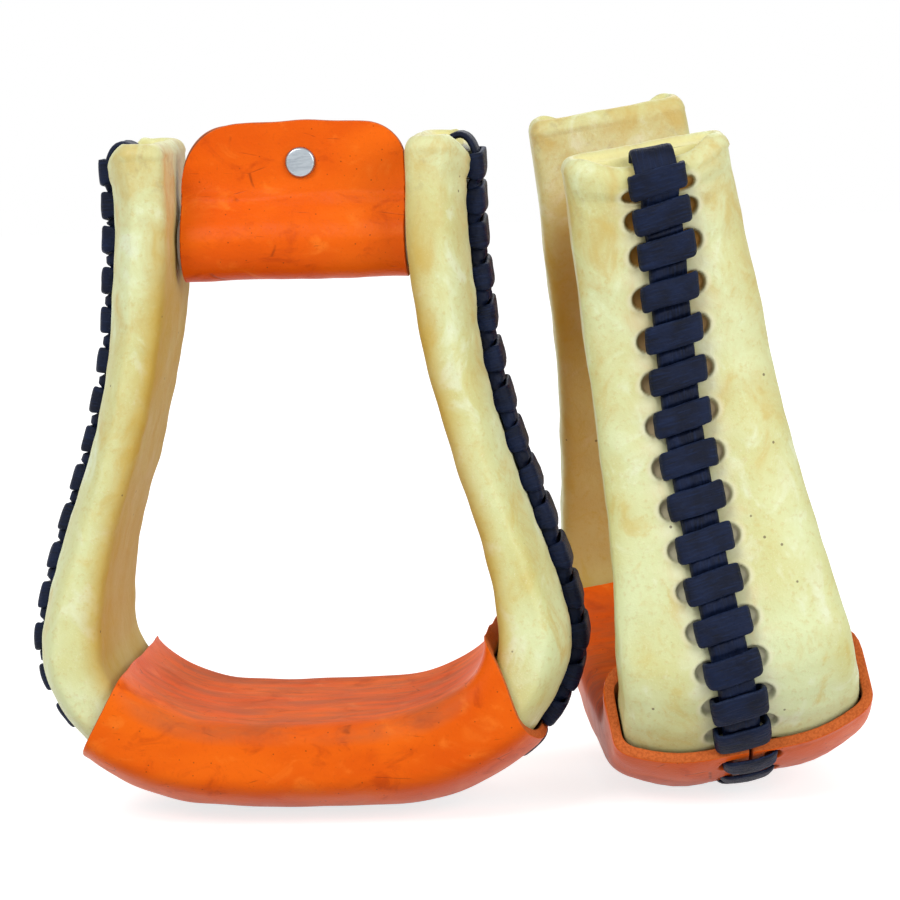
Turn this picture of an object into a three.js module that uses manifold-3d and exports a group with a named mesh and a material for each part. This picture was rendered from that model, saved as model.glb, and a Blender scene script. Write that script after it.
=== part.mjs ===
// A pair of western stirrups: bent wood under laced rawhide, with a leather tread sleeve
// and a leather strap wrap at the neck.
// Millimetres, +Z up. Each stirrup is made upright about its own centre line, with X across
// its rails and Y through its foot opening, then stood on the ground beside the other one.

import * as THREE from 'three';
import { mergeVertices } from 'three/addons/utils/BufferGeometryUtils.js';
import Module from 'manifold-3d';

const wasm = await Module();
wasm.setup();

// Driving dimensions of one stirrup
const neckWidth = 76.2;
const treadWidth = 126;
const railTopHeight = 218.5;
const cornerHeight = 59.3;
const treadTopHeight = 30.8;
const railDepth = 53.5;
const treadDepth = 77.5;
const railThickness = 12;
const cornerThickness = 17.6;
const treadThickness = 14.9;
const railCrown = 6.3;
const treadCrown = 9.5;
const edgeRadius = 3;
const crestReach = 12.6;

// Sheet materials and the room kept between touching pieces
const rawhideThickness = 2;
const leatherThickness = 3.2;
const clearance = 0.35;
const sleeveRoom = 0.6;
const overrun = 8;

// Rail end under its rawhide cap
const capHeight = 5.2;
const capShoulderHeight = 3.6;
const capShoulderInset = 1.5;
const capTopInset = 4.8;
const capDishInset = 7.2;
const capDishDepth = 1.6;
const rimDip = 5;

// Wood inside
const railStripThickness = 8.4;
const treadStripThickness = 7.4;
const laceTrough = 4;
const woodEdgeRadius = 3.8;
const woodCapRoom = 6;
const bareWoodInset = 1;

// Lacing of the rails and of the tread sleeve
const laceThickness = 1.3;
const laceWidth = 8.8;
const laceHoleWidth = 5.8;
const laceHalfSpan = 6.6;
const laceBulge = 1.5;
const lacePitch = 12.9;
const laceTopPitch = 10;
const closeTopTurns = 2;
const laceFirstTurn = 7.5;
const laceSlant = 2.2;
const tailShare = 0.15;
const laceTailSideShare = 0.2;
const leastMiterShare = 0.5;
const stripWidth = 12;
const stripThickness = 1.5;
const stripTuck = 6;
const holeInnerReach = 5.7;
const holeTipReach = 11.4;
const holeLength = 7.8;
const holeTipShare = 0.75;
const seamGap = 1.6;
const seamWander = 4.3;
const seamStart = 9;
const sleevePitch = 16.5;
const sleeveHoleTipReach = 10;
const sleeveHoleLength = 9;
const sleeveEndMargin = 9.5;
const sleeveTailShare = 0.2;
const notchHalfWidth = 11;
const notchMargin = 1.5;

// Ends of the tread sleeve, where each end line leaves the rail's inner face
const outsideSleeveReach = 60.6;
const outsideSleeveHeight = 60;
const insideSleeveReach = 57.6;
const insideSleeveHeight = 48.6;
const sleeveEndLeanShare = 0.55;

// Neck bolt and what turns on it
const boltDrop = 33.8;
const boltHeight = railTopHeight - boltDrop;
const boltDiameter = 9.5;
const boltHeadDiameter = 20;
const boltHeadHeight = 4.6;
const nutAcrossFlats = 14.3;
const nutHeight = 4.6;
const washerDiameter = 19;
const washerThickness = 1.5;
const counterboreDiameter = 21.5;
const counterboreDepth = 8;
const threadPastNut = 0.4;
const rollerDiameter = 16;
const rollerEndPlay = 0.6;
const boltPlay = 0.5;
const screwPlay = 0.6;

// Leather wrap and its rivet
const wrapEndPlay = 2;
const wrapWidth = neckWidth - 2 * wrapEndPlay;
const wrapRise = 38.7;
const wrapTopHeight = boltHeight + wrapRise;
const wrapArch = 1.4;
const wrapLeftRadius = 19;
const wrapRightRadius = 12;
const wrapBackShift = 1.6;
const rivetDrop = 13;
const rivetHeight = wrapTopHeight - rivetDrop;
const pinchDrop = 9.9;
const pinchHeight = rivetHeight - pinchDrop;
const rivetOffset = 2.8;
const rivetHeadDiameter = 9.8;
const rivetHeadHeight = 1.5;
const rivetRimHeight = 0.7;
const rivetPostDiameter = 4.2;
const rivetCapDiameter = 9;
const rivetCapHeight = 1.3;

// Screws that hold the tread block on the bent strip
const screwReachShare = 0.19;
const screwReach = treadWidth * screwReachShare;
const screwHeadDiameter = 7.6;
const screwHeadHeight = 3.4;
const screwDiameter = 4;
const screwLength = 18;
const screwSink = 2.2;

// How the second stirrup stands beside the first
const pairOffsetX = 132.7;
const pairOffsetY = 56.1;
const offTurnDegrees = -81.1;
const offLeanDegrees = 8.3;
const offRockDegrees = 5.9;
const offWrapTurnDegrees = -168;

// Materials, from the photograph
const rawhide = new THREE.MeshStandardMaterial({ color: 0xe6d68c, roughness: 0.5, metalness: 0 });
const saddleLeather = new THREE.MeshStandardMaterial({ color: 0xe0601f, roughness: 0.5, metalness: 0 });
const laceLeather = new THREE.MeshStandardMaterial({ color: 0x161c30, roughness: 0.6, metalness: 0 });
const wood = new THREE.MeshStandardMaterial({ color: 0xb98a55, roughness: 0.8, metalness: 0 });
const steel = new THREE.MeshStandardMaterial({ color: 0x9a9c9e, roughness: 0.4, metalness: 1 });
const nickel = new THREE.MeshStandardMaterial({ color: 0xc8c9c6, roughness: 0.25, metalness: 1 });
const polymer = new THREE.MeshStandardMaterial({ color: 0xd9d9d4, roughness: 0.5, metalness: 0 });

// Shares that shape the right half of the inside outline, from the rail's top to its foot.
// reach goes from the neck to the tread, height from the corner to the rail's top.
const railRowShares = [
  { reach: 0, height: 0.967, thickness: 0.268, depth: 0, crown: 0 },
  { reach: 0, height: 0.822, thickness: 0.25, depth: 0.06, crown: 0 },
  { reach: 0.048, height: 0.685, thickness: 0.32, depth: 0.146, crown: 0 },
  { reach: 0.181, height: 0.555, thickness: 0.125, depth: 0.2, crown: 0 },
  { reach: 0.474, height: 0.374, thickness: 0, depth: 0.33, crown: 0 },
  { reach: 0.775, height: 0.224, thickness: 0.07, depth: 0.5, crown: 0 },
  { reach: 0.952, height: 0.1, thickness: 0.518, depth: 0.71, crown: 0 },
  { reach: 1, height: 0, thickness: 1, depth: 0.875, crown: 0 },
];

// The same outline along the tread, from the corner to the middle.
// reach is out of the tread's half width, height from the tread's top to the corner.
const treadRowShares = [
  { reach: 0.975, height: 0.712, thickness: 1, depth: 0.96, crown: 0.06 },
  { reach: 0.894, height: 0.46, thickness: 0.83, depth: 1, crown: 0.2 },
  { reach: 0.73, height: 0.221, thickness: 0.55, depth: 1, crown: 0.5 },
  { reach: 0.532, height: 0.067, thickness: 0.19, depth: 1, crown: 0.8 },
  { reach: 0.286, height: 0.014, thickness: 0.02, depth: 1, crown: 0.97 },
  { reach: 0, height: 0, thickness: 0, depth: 1, crown: 1 },
];

// How the hand-laced seam of a rail wanders off the middle of the outer face.
// Each pair is a share of the seam's length and the share of seamWander that it lies aside there.
const seamWanderShares = [
  [0, 0.28], [0.14, 0.15], [0.2, -0.15], [0.3, -0.45], [0.4, -0.85], [0.5, -1],
  [0.66, -1], [0.76, -0.8], [0.86, -0.55], [1, -0.45],
];

// Stations are numbered along the outline: 0 at the right rail's top, then one a row
const middleStation = railRowShares.length + treadRowShares.length - 1;
const lastStation = 2 * middleStation;
const coverStations = [0, 1.4, 2.6, 3.8, 5, 6, 7, 7.6, 8.2, 8.7, 9.2];
const sleeveStations = [6, 7, 7.6, 8.2, 8.7, 9.2, 10, 11.5, 13];
const hornStation = 5.875;
const bareWoodStation = 9.375;
const stationStep = 0.125;

function mix(from, to, share) {
  return from + (to - from) * share;
}

// Inside outline with its thickness, depth and crown, as two curves over the stations
function halfOutline() {
  const rows = [];
  for (const row of railRowShares) {
    rows.push({
      x: mix(neckWidth, treadWidth, row.reach) / 2,
      z: mix(cornerHeight, railTopHeight, row.height),
      thickness: mix(railThickness, cornerThickness, row.thickness),
      depth: mix(railDepth, treadDepth, row.depth),
      crown: mix(railCrown, treadCrown, row.crown),
    });
  }
  for (const row of treadRowShares) {
    rows.push({
      x: (treadWidth / 2) * row.reach,
      z: mix(treadTopHeight, cornerHeight, row.height),
      thickness: mix(treadThickness, cornerThickness, row.thickness),
      depth: mix(railDepth, treadDepth, row.depth),
      crown: mix(railCrown, treadCrown, row.crown),
    });
  }
  return rows;
}

const rightRows = halfOutline();
const leftRows = rightRows.slice(0, -1).reverse().map((row) => ({ ...row, x: -row.x }));
const allRows = [...rightRows, ...leftRows];
const placeCurve = new THREE.CatmullRomCurve3(
  allRows.map((row) => new THREE.Vector3(row.x, 0, row.z)), false, 'catmullrom', 0.5);
const sizeCurve = new THREE.CatmullRomCurve3(
  allRows.map((row) => new THREE.Vector3(row.thickness, row.depth, row.crown)), false, 'catmullrom', 0.5);

// One station: its inside point, the way out through the wall, and its sizes
function stationAt(number) {
  const share = number / lastStation;
  const along = placeCurve.getTangent(share);
  if (number === 0) along.set(0, 0, -1);
  if (number === lastStation) along.set(0, 0, 1);
  const size = sizeCurve.getPoint(share);
  return {
    number,
    inside: placeCurve.getPoint(share),
    along,
    outward: new THREE.Vector3(-along.z, 0, along.x),
    thickness: size.x,
    depth: size.y,
    crown: size.z,
  };
}

function pointAt(station, side, out, rise = 0) {
  const point = station.inside.clone().addScaledVector(station.outward, out);
  point.y = side;
  point.z += rise;
  return point;
}

// Height of the crowned outer face above the inside face, at a place across the depth.
// The crest is level as far as the lace holes reach, then falls away to both edges.
function crownAt(station, side, offset, crownLoss) {
  const fall = station.depth / 2 - crestReach;
  const crown = station.crown - crownLoss;
  const past = Math.max(0, Math.abs(side) - crestReach) / fall;
  const slope = (2 * crown * past) / fall;
  return station.thickness + crown * (1 - past ** 2) - offset * Math.hypot(1, slope);
}

// Section of a skin that lies inside the rawhide's outer face by offset (outside if negative):
// flat inside, rounded edges, and a crown with a level crest
const ridgeSideShare = 0.8;
const ridgeOutShare = 0.7;
const chamferShare = 0.58;

function skinSection(station, offset, { radius, fine = false, crownLoss = 0, innerOut = offset }) {
  const halfSide = station.depth / 2 - offset;
  const crest = (side) => crownAt(station, side, offset, crownLoss);
  const ridge = halfSide - radius * ridgeSideShare;
  const chamfer = radius * chamferShare;
  const rounded = [
    { side: halfSide - radius, out: innerOut },
    { side: halfSide, out: innerOut + radius },
    { side: halfSide, out: crest(halfSide) - radius * ridgeOutShare },
    { side: ridge, out: crest(ridge) },
  ];
  const plain = [
    { side: halfSide - chamfer, out: innerOut },
    { side: halfSide, out: innerOut + chamfer },
    { side: halfSide, out: crest(halfSide) },
  ];
  const half = [...(fine ? rounded : plain), { side: crestReach, out: crest(crestReach) }];
  const other = half.map((corner) => ({ side: -corner.side, out: corner.out })).reverse();
  return [...half, ...other];
}

const outerSkin = { radius: edgeRadius, fine: true };
const innerSkin = { radius: edgeRadius - rawhideThickness / 2 };

// Solids are kept as manifolds while they are cut, and become meshes at the end
function solidFromGeometry(geometry) {
  const bare = geometry.clone();
  bare.deleteAttribute('normal');
  bare.deleteAttribute('uv');
  const merged = mergeVertices(bare);
  return new wasm.Manifold(new wasm.Mesh({
    numProp: 3,
    vertProperties: merged.attributes.position.array,
    triVerts: new Uint32Array(merged.index.array),
  }));
}

function geometryFromSolid(solid) {
  const mesh = solid.getMesh();
  const geometry = new THREE.BufferGeometry();
  geometry.setAttribute('position', new THREE.BufferAttribute(mesh.vertProperties, 3));
  geometry.setIndex(new THREE.BufferAttribute(mesh.triVerts, 1));
  return geometry;
}

// Signed volume of an indexed triangle list, to point its faces out
function signedVolume(points, triangles) {
  let volume = 0;
  for (const [a, b, c] of triangles) {
    volume += points[a].dot(points[b].clone().cross(points[c])) / 6;
  }
  return volume;
}

// A closed solid through rings of equal count, with flat ends
function sweepSolid(rings) {
  const count = rings[0].length;
  const points = rings.flat();
  const triangles = [];
  for (let ring = 0; ring + 1 < rings.length; ring += 1) {
    for (let k = 0; k < count; k += 1) {
      const a = ring * count + k;
      const b = ring * count + ((k + 1) % count);
      triangles.push([a, b, b + count], [a, b + count, a + count]);
    }
  }
  const last = (rings.length - 1) * count;
  for (let k = 1; k + 1 < count; k += 1) {
    triangles.push([0, k + 1, k], [last, last + k, last + k + 1]);
  }
  if (signedVolume(points, triangles) < 0) {
    for (const triangle of triangles) triangle.reverse();
  }
  return new wasm.Manifold(new wasm.Mesh({
    numProp: 3,
    vertProperties: new Float32Array(points.flatMap((point) => point.toArray())),
    triVerts: new Uint32Array(triangles.flat()),
  }));
}

function ringOf(station, corners, rise = 0) {
  return corners.map((corner) => pointAt(station, corner.side, corner.out, rise));
}

// The rail's rounded end: its outer rim dips in the middle, and its dish slopes out and down
const rimFlatShare = 0.4;
const capLevels = [
  { inset: capDishInset, rise: capHeight - capDishDepth, sloped: true },
  { inset: capTopInset, rise: capHeight },
  { inset: capShoulderInset, rise: capShoulderHeight },
];

function rimDipAt(station, corner) {
  const outShare = corner.out / (station.thickness + station.crown);
  const outerShare = Math.max(0, outShare - rimFlatShare) / (1 - rimFlatShare);
  return rimDip * outerShare ** 2 * (1 - (corner.side / (station.depth / 2)) ** 2);
}

function capPoint(station, corner, { inset, rise, sloped }, offset) {
  const full = station.thickness + station.crown;
  const half = station.depth / 2;
  const side = (corner.side * (half - inset)) / half;
  const out = inset + (corner.out * (full - 2 * inset)) / full;
  const dip = sloped ? (rimDip * corner.out) / full : rimDipAt(station, corner);
  return pointAt(station, side, out, rise - offset - dip);
}

function capRings(station, section, offset) {
  return capLevels.map((level) => section.map((corner) => capPoint(station, corner, level, offset)));
}

function dippedTop(station, section, drop = 0) {
  return section.map((corner) => {
    const rise = -drop - rimDipAt(station, corner);
    return pointAt(station, corner.side, corner.out, rise);
  });
}

// The skin of a whole rail down to the last of the numbered stations, closed by its cap
function railSkin(numbers, offset, shape) {
  const stations = numbers.map(stationAt);
  const sections = stations.map((station) => skinSection(station, offset, shape));
  const rings = stations.map((station, k) => ringOf(station, sections[k]));
  rings[0] = dippedTop(stations[0], sections[0]);
  return sweepSolid([...capRings(stations[0], sections[0], offset), ...rings]);
}

// Centre line of the outer face, straight between its stations, measured by length
function outerLine(numbers, offset) {
  const stops = numbers.map(stationAt).map((station) => ({
    station,
    point: pointAt(station, 0, crownAt(station, 0, offset, 0)),
    length: 0,
    side: 0,
  }));
  for (let k = 1; k < stops.length; k += 1) {
    stops[k].length = stops[k - 1].length + stops[k].point.distanceTo(stops[k - 1].point);
  }
  return stops;
}

function frameAt(line, length) {
  let k = 1;
  while (k < line.length - 1 && line[k].length < length) k += 1;
  const before = line[k - 1];
  const after = line[k];
  const share = (length - before.length) / (after.length - before.length);
  const along = after.station.along.clone().lerp(before.station.along, 1 - share).normalize();
  return {
    point: before.point.clone().lerp(after.point, share),
    along,
    outward: new THREE.Vector3(-along.z, 0, along.x),
    side: mix(before.side, after.side, share),
  };
}

function lineLength(line) {
  return line[line.length - 1].length;
}

// A point off the centre line: side across it, out from the face
function offLine(line, length, side, out) {
  const frame = frameAt(line, length);
  return frame.point.clone().addScaledVector(frame.outward, out).setY(frame.side + side);
}

// The line with its stops moved sideways: shares of its length, each with a share of the reach
function wandered(line, reach, shares) {
  const total = lineLength(line);
  return line.map((stop) => {
    const at = stop.length / total;
    const k = Math.max(1, shares.findIndex(([place]) => place >= at));
    const [from, low] = shares[k - 1];
    const [to, high] = shares[k];
    return { ...stop, side: reach * mix(low, high, (at - from) / (to - from)) };
  });
}

// Flat band along the line between two heights over the face
function bandSolid(line, lengths, halfWidth, low, high) {
  return sweepSolid(lengths.map((length) => [
    offLine(line, length, -halfWidth, low),
    offLine(line, length, halfWidth, low),
    offLine(line, length, halfWidth, high),
    offLine(line, length, -halfWidth, high),
  ]));
}

// Where the turns of a whip stitch start: closer at the top, then one pitch apart
function turnLengths(first, last, pitch, closePitch, closeCount) {
  const lengths = [];
  let length = first;
  while (length <= last) {
    lengths.push(length);
    length += lengths.length <= closeCount ? closePitch : pitch;
  }
  return lengths;
}

const railHole = { tipReach: holeTipReach, halfLength: holeLength / 2 };
const sleeveHole = { tipReach: sleeveHoleTipReach, halfLength: sleeveHoleLength / 2 };

// One punched hole, narrower on its outer side, through a wall of the given depth
function holeSolid(line, length, hand, { tipReach, halfLength }, depth) {
  const outline = [
    [holeInnerReach, -halfLength],
    [tipReach, -halfLength * holeTipShare],
    [tipReach, halfLength * holeTipShare],
    [holeInnerReach, halfLength],
  ];
  const frame = frameAt(line, length);
  const ring = (out) => outline.map(([side, shift]) => frame.point.clone()
    .addScaledVector(frame.along, shift)
    .addScaledVector(frame.outward, out)
    .setY(frame.side + hand * side));
  return sweepSolid([ring(-depth), ring(overrun)]);
}

// How far the line's bends stand over a lace that lies straight across them
function bendUnder(line, length, width) {
  const from = frameAt(line, length - width / 2).point;
  const chord = frameAt(line, length + width / 2).point.sub(from).normalize();
  const outward = new THREE.Vector3(-chord.z, 0, chord.x);
  const crossed = line.filter((stop) => Math.abs(stop.length - length) < width / 2);
  return Math.max(0, ...crossed.map((stop) => stop.point.clone().sub(from).dot(outward)));
}

// The route of a lace: over the seam, down its hole, back under the wall and up the next
function laceStops(line, turns, over, under, tail) {
  const middle = (over + under) / 2;
  const reach = laceHalfSpan + laceBulge;
  const slant = laceSlant / 2;
  const tailSide = laceHalfSpan * laceTailSideShare;
  const low = { out: under, width: laceHoleWidth };
  const inHole = { out: middle, width: laceHoleWidth };
  const stops = [{ side: -tailSide, length: turns[0] - tail, ...low }];
  for (const length of turns) {
    const high = { out: over + bendUnder(line, length, laceWidth + laceSlant), width: laceWidth };
    stops.push(
      { side: -laceHalfSpan, length: length + slant, ...low },
      { side: -reach, length: length + slant, ...inHole },
      { side: -laceHalfSpan, length: length + slant, ...high },
      { side: laceHalfSpan, length: length - slant, ...high },
      { side: reach, length: length - slant, ...inHole },
      { side: laceHalfSpan, length: length - slant, ...low },
    );
  }
  stops.push({ side: tailSide, length: turns[turns.length - 1] + tail, ...low });
  return stops;
}

function laceSolid(line, stops) {
  const flat = stops.map((stop) => new THREE.Vector2(stop.side, stop.out));
  const rings = stops.map((stop, k) => {
    const before = flat[Math.max(k - 1, 0)];
    const after = flat[Math.min(k + 1, flat.length - 1)];
    const into = flat[k].clone().sub(before).normalize();
    const from = after.clone().sub(flat[k]).normalize();
    const travel = into.clone().add(from).normalize();
    const miter = 1 / Math.max(travel.dot(k > 0 ? into : from), leastMiterShare);
    const normal = new THREE.Vector2(-travel.y, travel.x).multiplyScalar((laceThickness / 2) * miter);
    const corner = (across, sign) => offLine(line, stop.length + (across * stop.width) / 2,
      stop.side + sign * normal.x, stop.out + sign * normal.y);
    return [corner(-1, 1), corner(1, 1), corner(1, -1), corner(-1, -1)];
  });
  return sweepSolid(rings);
}

// The least room between one turn of a lace and the next, on points along its middle
function leastTurnGap(line, stops) {
  const turnStops = 6;
  let least = Infinity;
  for (let k = 1; k + turnStops + 1 < stops.length; k += 1) {
    const here = stops[k];
    const next = stops[k + turnStops];
    const apart = offLine(line, here.length, here.side, here.out)
      .distanceTo(offLine(line, next.length, next.side, next.out));
    least = Math.min(least, apart - (here.width + next.width) / 2);
  }
  return least;
}

// Round solids on an axis, from a closed profile of [radius, height] corners
function latheSolid(profile, sides) {
  const corners = profile.map(([radius, height]) => new THREE.Vector2(radius, height));
  return solidFromGeometry(new THREE.LatheGeometry(corners, sides));
}

function cylinderSolid(radius, length, sides) {
  return solidFromGeometry(new THREE.CylinderGeometry(radius, radius, length, sides));
}

const boltSides = 12;
const hardwareSides = 16;
const screwSides = 8;
const nutSides = 6;

function turnedToX(solid, x, z) {
  return solid.rotate([0, 0, -90]).translate([x, 0, z]);
}

// Places that the bolt sets: where each rail's wood starts and how deep its seat lies
const boltStation = 1.3;
const boltRail = stationAt(boltStation);
const woodOffset = rawhideThickness + clearance;
const woodFaceOut = crownAt(boltRail, 0, woodOffset, laceTrough);
const seatX = boltRail.inside.x + woodFaceOut - counterboreDepth;
const boltHoleRadius = boltDiameter / 2 + boltPlay;

function boltBores() {
  const through = turnedToX(cylinderSolid(boltHoleRadius, treadWidth, boltSides), 0, boltHeight);
  const seat = cylinderSolid(counterboreDiameter / 2, overrun * 2, hardwareSides);
  const right = turnedToX(seat, seatX + overrun, boltHeight);
  const left = turnedToX(seat, -seatX - overrun, boltHeight);
  return { through, right, left };
}

// Bent strip of wood from one rail's top, round under the tread, to the other's
function woodNumbers() {
  const horn = coverStations.findIndex((number) => number > hornStation);
  const half = [...coverStations.slice(0, horn), hornStation - stationStep / 2, hornStation,
    ...coverStations.slice(horn), bareWoodStation - stationStep, bareWoodStation,
    ...sleeveStations.filter((number) => number > bareWoodStation)];
  const back = half.slice(0, -1).reverse().map((number) => lastStation - number);
  return [...half, ...back];
}

function fromEnd(number) {
  return Math.min(number, lastStation - number);
}

function woodOffsetAt(number) {
  return fromEnd(number) >= bareWoodStation ? bareWoodInset : woodOffset;
}

// How far the bent strip's inner face lies from the outline: the block fills what is left
function stripInnerOut(station) {
  const place = fromEnd(station.number);
  const offset = woodOffsetAt(station.number);
  if (place < hornStation) return offset;
  const thinning = THREE.MathUtils.clamp((place - hornStation) / (middleStation - hornStation), 0, 1);
  return station.thickness - offset - mix(railStripThickness, treadStripThickness, thinning);
}

function bentStrip() {
  const rings = woodNumbers().map((number) => {
    const station = stationAt(number);
    const section = skinSection(station, woodOffsetAt(number), {
      crownLoss: laceTrough,
      innerOut: stripInnerOut(station),
      radius: woodEdgeRadius,
    });
    return { station, section, ring: ringOf(station, section) };
  });
  const first = rings[0];
  const last = rings[rings.length - 1];
  const all = [
    ...capRings(first.station, first.section, woodOffset + woodCapRoom),
    dippedTop(first.station, first.section, woodCapRoom),
    ...rings.slice(1, -1).map((entry) => entry.ring),
    dippedTop(last.station, last.section, woodCapRoom),
    ...capRings(last.station, last.section, woodOffset + woodCapRoom).reverse(),
  ];
  const bores = boltBores();
  return sweepSolid(all).subtract(bores.through).subtract(bores.right).subtract(bores.left)
    .subtract(joined(screwSolids(screwPlay)));
}

const blockRoundShare = 0.6;

// Tread block with its two horns that fill the corners
function treadBlock() {
  const hornEnd = hornStation + stationStep / 2;
  const between = woodNumbers().filter((number) => fromEnd(number) > hornEnd);
  const numbers = [hornEnd, ...between, lastStation - hornEnd];
  const rings = numbers.map((number) => {
    const station = stationAt(number);
    const offset = woodOffsetAt(number);
    const low = offset;
    const high = stripInnerOut(station) - clearance;
    const halfSide = station.depth / 2 - offset;
    const radius = Math.min(woodEdgeRadius, (high - low) * blockRoundShare);
    const half = [
      { side: halfSide - radius, out: low },
      { side: halfSide, out: low + radius },
      { side: halfSide, out: high },
    ];
    const other = half.map((corner) => ({ side: -corner.side, out: corner.out })).reverse();
    return ringOf(station, [...half, ...other]);
  });
  return sweepSolid(rings).subtract(joined(screwSolids(screwPlay)));
}

// Two countersunk screws, driven up through the strip into the block
function screwSolids(grow) {
  const station = stationAt(middleStation);
  const bottom = station.inside.z - crownAt(station, 0, 0, laceTrough) + screwSink;
  const head = screwHeadDiameter / 2 + grow;
  const shank = screwDiameter / 2 + grow;
  const mouth = grow > 0 ? [[0, -overrun], [head, -overrun]] : [[0, 0]];
  const profile = [
    ...mouth,
    [head, 0],
    [shank, screwHeadHeight],
    [shank, screwLength - screwDiameter],
    [0, screwLength + grow],
  ];
  const screw = latheSolid(profile, screwSides).rotate([90, 0, 0]);
  return [-screwReach, screwReach].map((x) => screw.translate([x, 0, bottom]));
}

function joined(solids) {
  return solids.reduce((all, solid) => all.add(solid));
}

// Rawhide of one rail, with its seam, its pairs of lace holes and the room for the sleeve's lace
const railLine = wandered(outerLine(coverStations, 0), seamWander, seamWanderShares);
const sleeveNumbers = [...sleeveStations,
  ...sleeveStations.slice(0, -1).reverse().map((number) => lastStation - number)];
const sleeveOffset = -sleeveRoom - leatherThickness;
const sleeveLine = outerLine(sleeveNumbers, sleeveOffset);

// Side of the sleeve's end plane that a point lies on: above zero is past the end
function pastSleeveEnd(point, reach, height) {
  return (Math.abs(point.x) - reach) + (point.z - height) * sleeveEndLeanShare;
}

function lengthAtSleeveEnd(line, reach, height, fromStart) {
  const total = lineLength(line);
  const steps = 400;
  for (let k = 0; k <= steps; k += 1) {
    const length = (total * (fromStart ? k : steps - k)) / steps;
    const past = pastSleeveEnd(frameAt(line, length).point, reach, height);
    if (past < 0) return length;
  }
  return total;
}

const railLaceEnds = {
  outside: lengthAtSleeveEnd(railLine, outsideSleeveReach, outsideSleeveHeight, true),
  inside: lengthAtSleeveEnd(railLine, insideSleeveReach, insideSleeveHeight, true),
};

const laceOver = 2 * clearance + stripThickness + laceThickness / 2;
const laceUnder = -(rawhideThickness + 3 * clearance + laceThickness / 2);
const sleeveOver = 2 * clearance + laceThickness / 2;
const sleeveUnder = -(leatherThickness + 2 * clearance + laceThickness / 2);

function railTurns(end) {
  return turnLengths(laceFirstTurn, end - laceWidth / 2 - laceSlant, lacePitch, laceTopPitch, closeTopTurns);
}

function railCover(end) {
  const outer = railSkin(coverStations, 0, outerSkin);
  const past = [...coverStations, coverStations[coverStations.length - 1] + stationStep * 2];
  const inner = railSkin(past, rawhideThickness, innerSkin);
  let cover = outer.subtract(inner);
  const total = lineLength(railLine);
  const seamLengths = railLine.map((stop) => stop.length).filter((length) => length > seamStart);
  const seam = [seamStart, ...seamLengths, total + overrun];
  cover = cover.subtract(bandSolid(railLine, seam, seamGap / 2, -rawhideThickness - overrun / 2, overrun));
  const notchStart = end + notchMargin;
  const notch = [notchStart, ...seamLengths.filter((length) => length > notchStart), total + overrun];
  const notchLow = -rawhideThickness - overrun / 2;
  cover = cover.subtract(bandSolid(railLine, notch, notchHalfWidth, notchLow, overrun));
  for (const length of railTurns(end)) {
    const low = rawhideThickness + overrun / 4;
    cover = cover
      .subtract(holeSolid(railLine, length - laceSlant / 2, 1, railHole, low))
      .subtract(holeSolid(railLine, length + laceSlant / 2, -1, railHole, low));
  }
  const bore = cylinderSolid(boltHoleRadius, neckWidth, boltSides);
  const boreX = boltRail.inside.x - neckWidth / 2 + rawhideThickness * 2;
  return cover.subtract(turnedToX(bore, boreX, boltHeight));
}

// Filler strip over the seam, folded over the rim into the dish of the cap
function seamStrip(end) {
  const halfWidth = stripWidth / 2;
  const low = clearance;
  const high = clearance + stripThickness;
  const top = stationAt(0);
  const crest = { side: crestReach, out: crownAt(top, 0, 0, 0) };
  const tucked = capPoint(top, { ...crest, out: crest.out - stripTuck }, capLevels[0], 0);
  const folded = capLevels.map((level) => capPoint(top, crest, level, 0));
  const start = [tucked, ...folded, ...dippedTop(top, [crest])];
  const route = start.map((point) => point.setY(railLine[0].side));
  for (const stop of railLine) {
    const kept = stop.length > 0 && stop.length < end - clearance * 3;
    if (kept) route.push(stop.point.clone().setY(stop.side));
  }
  route.push(offLine(railLine, end - clearance * 3, 0, 0));
  const rings = route.map((point, k) => {
    const before = route[Math.max(k - 1, 0)];
    const after = route[Math.min(k + 1, route.length - 1)];
    const into = point.clone().sub(before).normalize();
    const from = after.clone().sub(point).normalize();
    const travel = into.clone().add(from).normalize();
    const miter = 1 / Math.max(travel.dot(k > 0 ? into : from), leastMiterShare);
    const normal = new THREE.Vector3(-travel.z, 0, travel.x).multiplyScalar(miter);
    const corner = (side, out) => point.clone().addScaledVector(normal, out).setY(point.y + side);
    const under = [corner(-halfWidth, low), corner(halfWidth, low)];
    return [...under, corner(halfWidth, high), corner(-halfWidth, high)];
  });
  return sweepSolid(rings);
}

function railLace(end) {
  const stops = laceStops(railLine, railTurns(end), laceOver, laceUnder, lacePitch * tailShare);
  return { solid: laceSolid(railLine, stops), gap: leastTurnGap(railLine, stops) };
}

// Prism between the two slanted end planes of the sleeve
function sleeveSpan() {
  const low = -overrun;
  const high = cornerHeight + overrun * 2;
  const xAt = (reach, height, z) => reach - (z - height) * sleeveEndLeanShare;
  const outline = new THREE.Shape();
  outline.moveTo(xAt(outsideSleeveReach, outsideSleeveHeight, low), low);
  outline.lineTo(xAt(outsideSleeveReach, outsideSleeveHeight, high), high);
  outline.lineTo(-xAt(insideSleeveReach, insideSleeveHeight, high), high);
  outline.lineTo(-xAt(insideSleeveReach, insideSleeveHeight, low), low);
  outline.closePath();
  const depth = treadDepth * 2;
  const geometry = new THREE.ExtrudeGeometry(outline, { depth, bevelEnabled: false });
  return solidFromGeometry(geometry).rotate([90, 0, 0]).translate([0, depth / 2, 0]);
}

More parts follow.
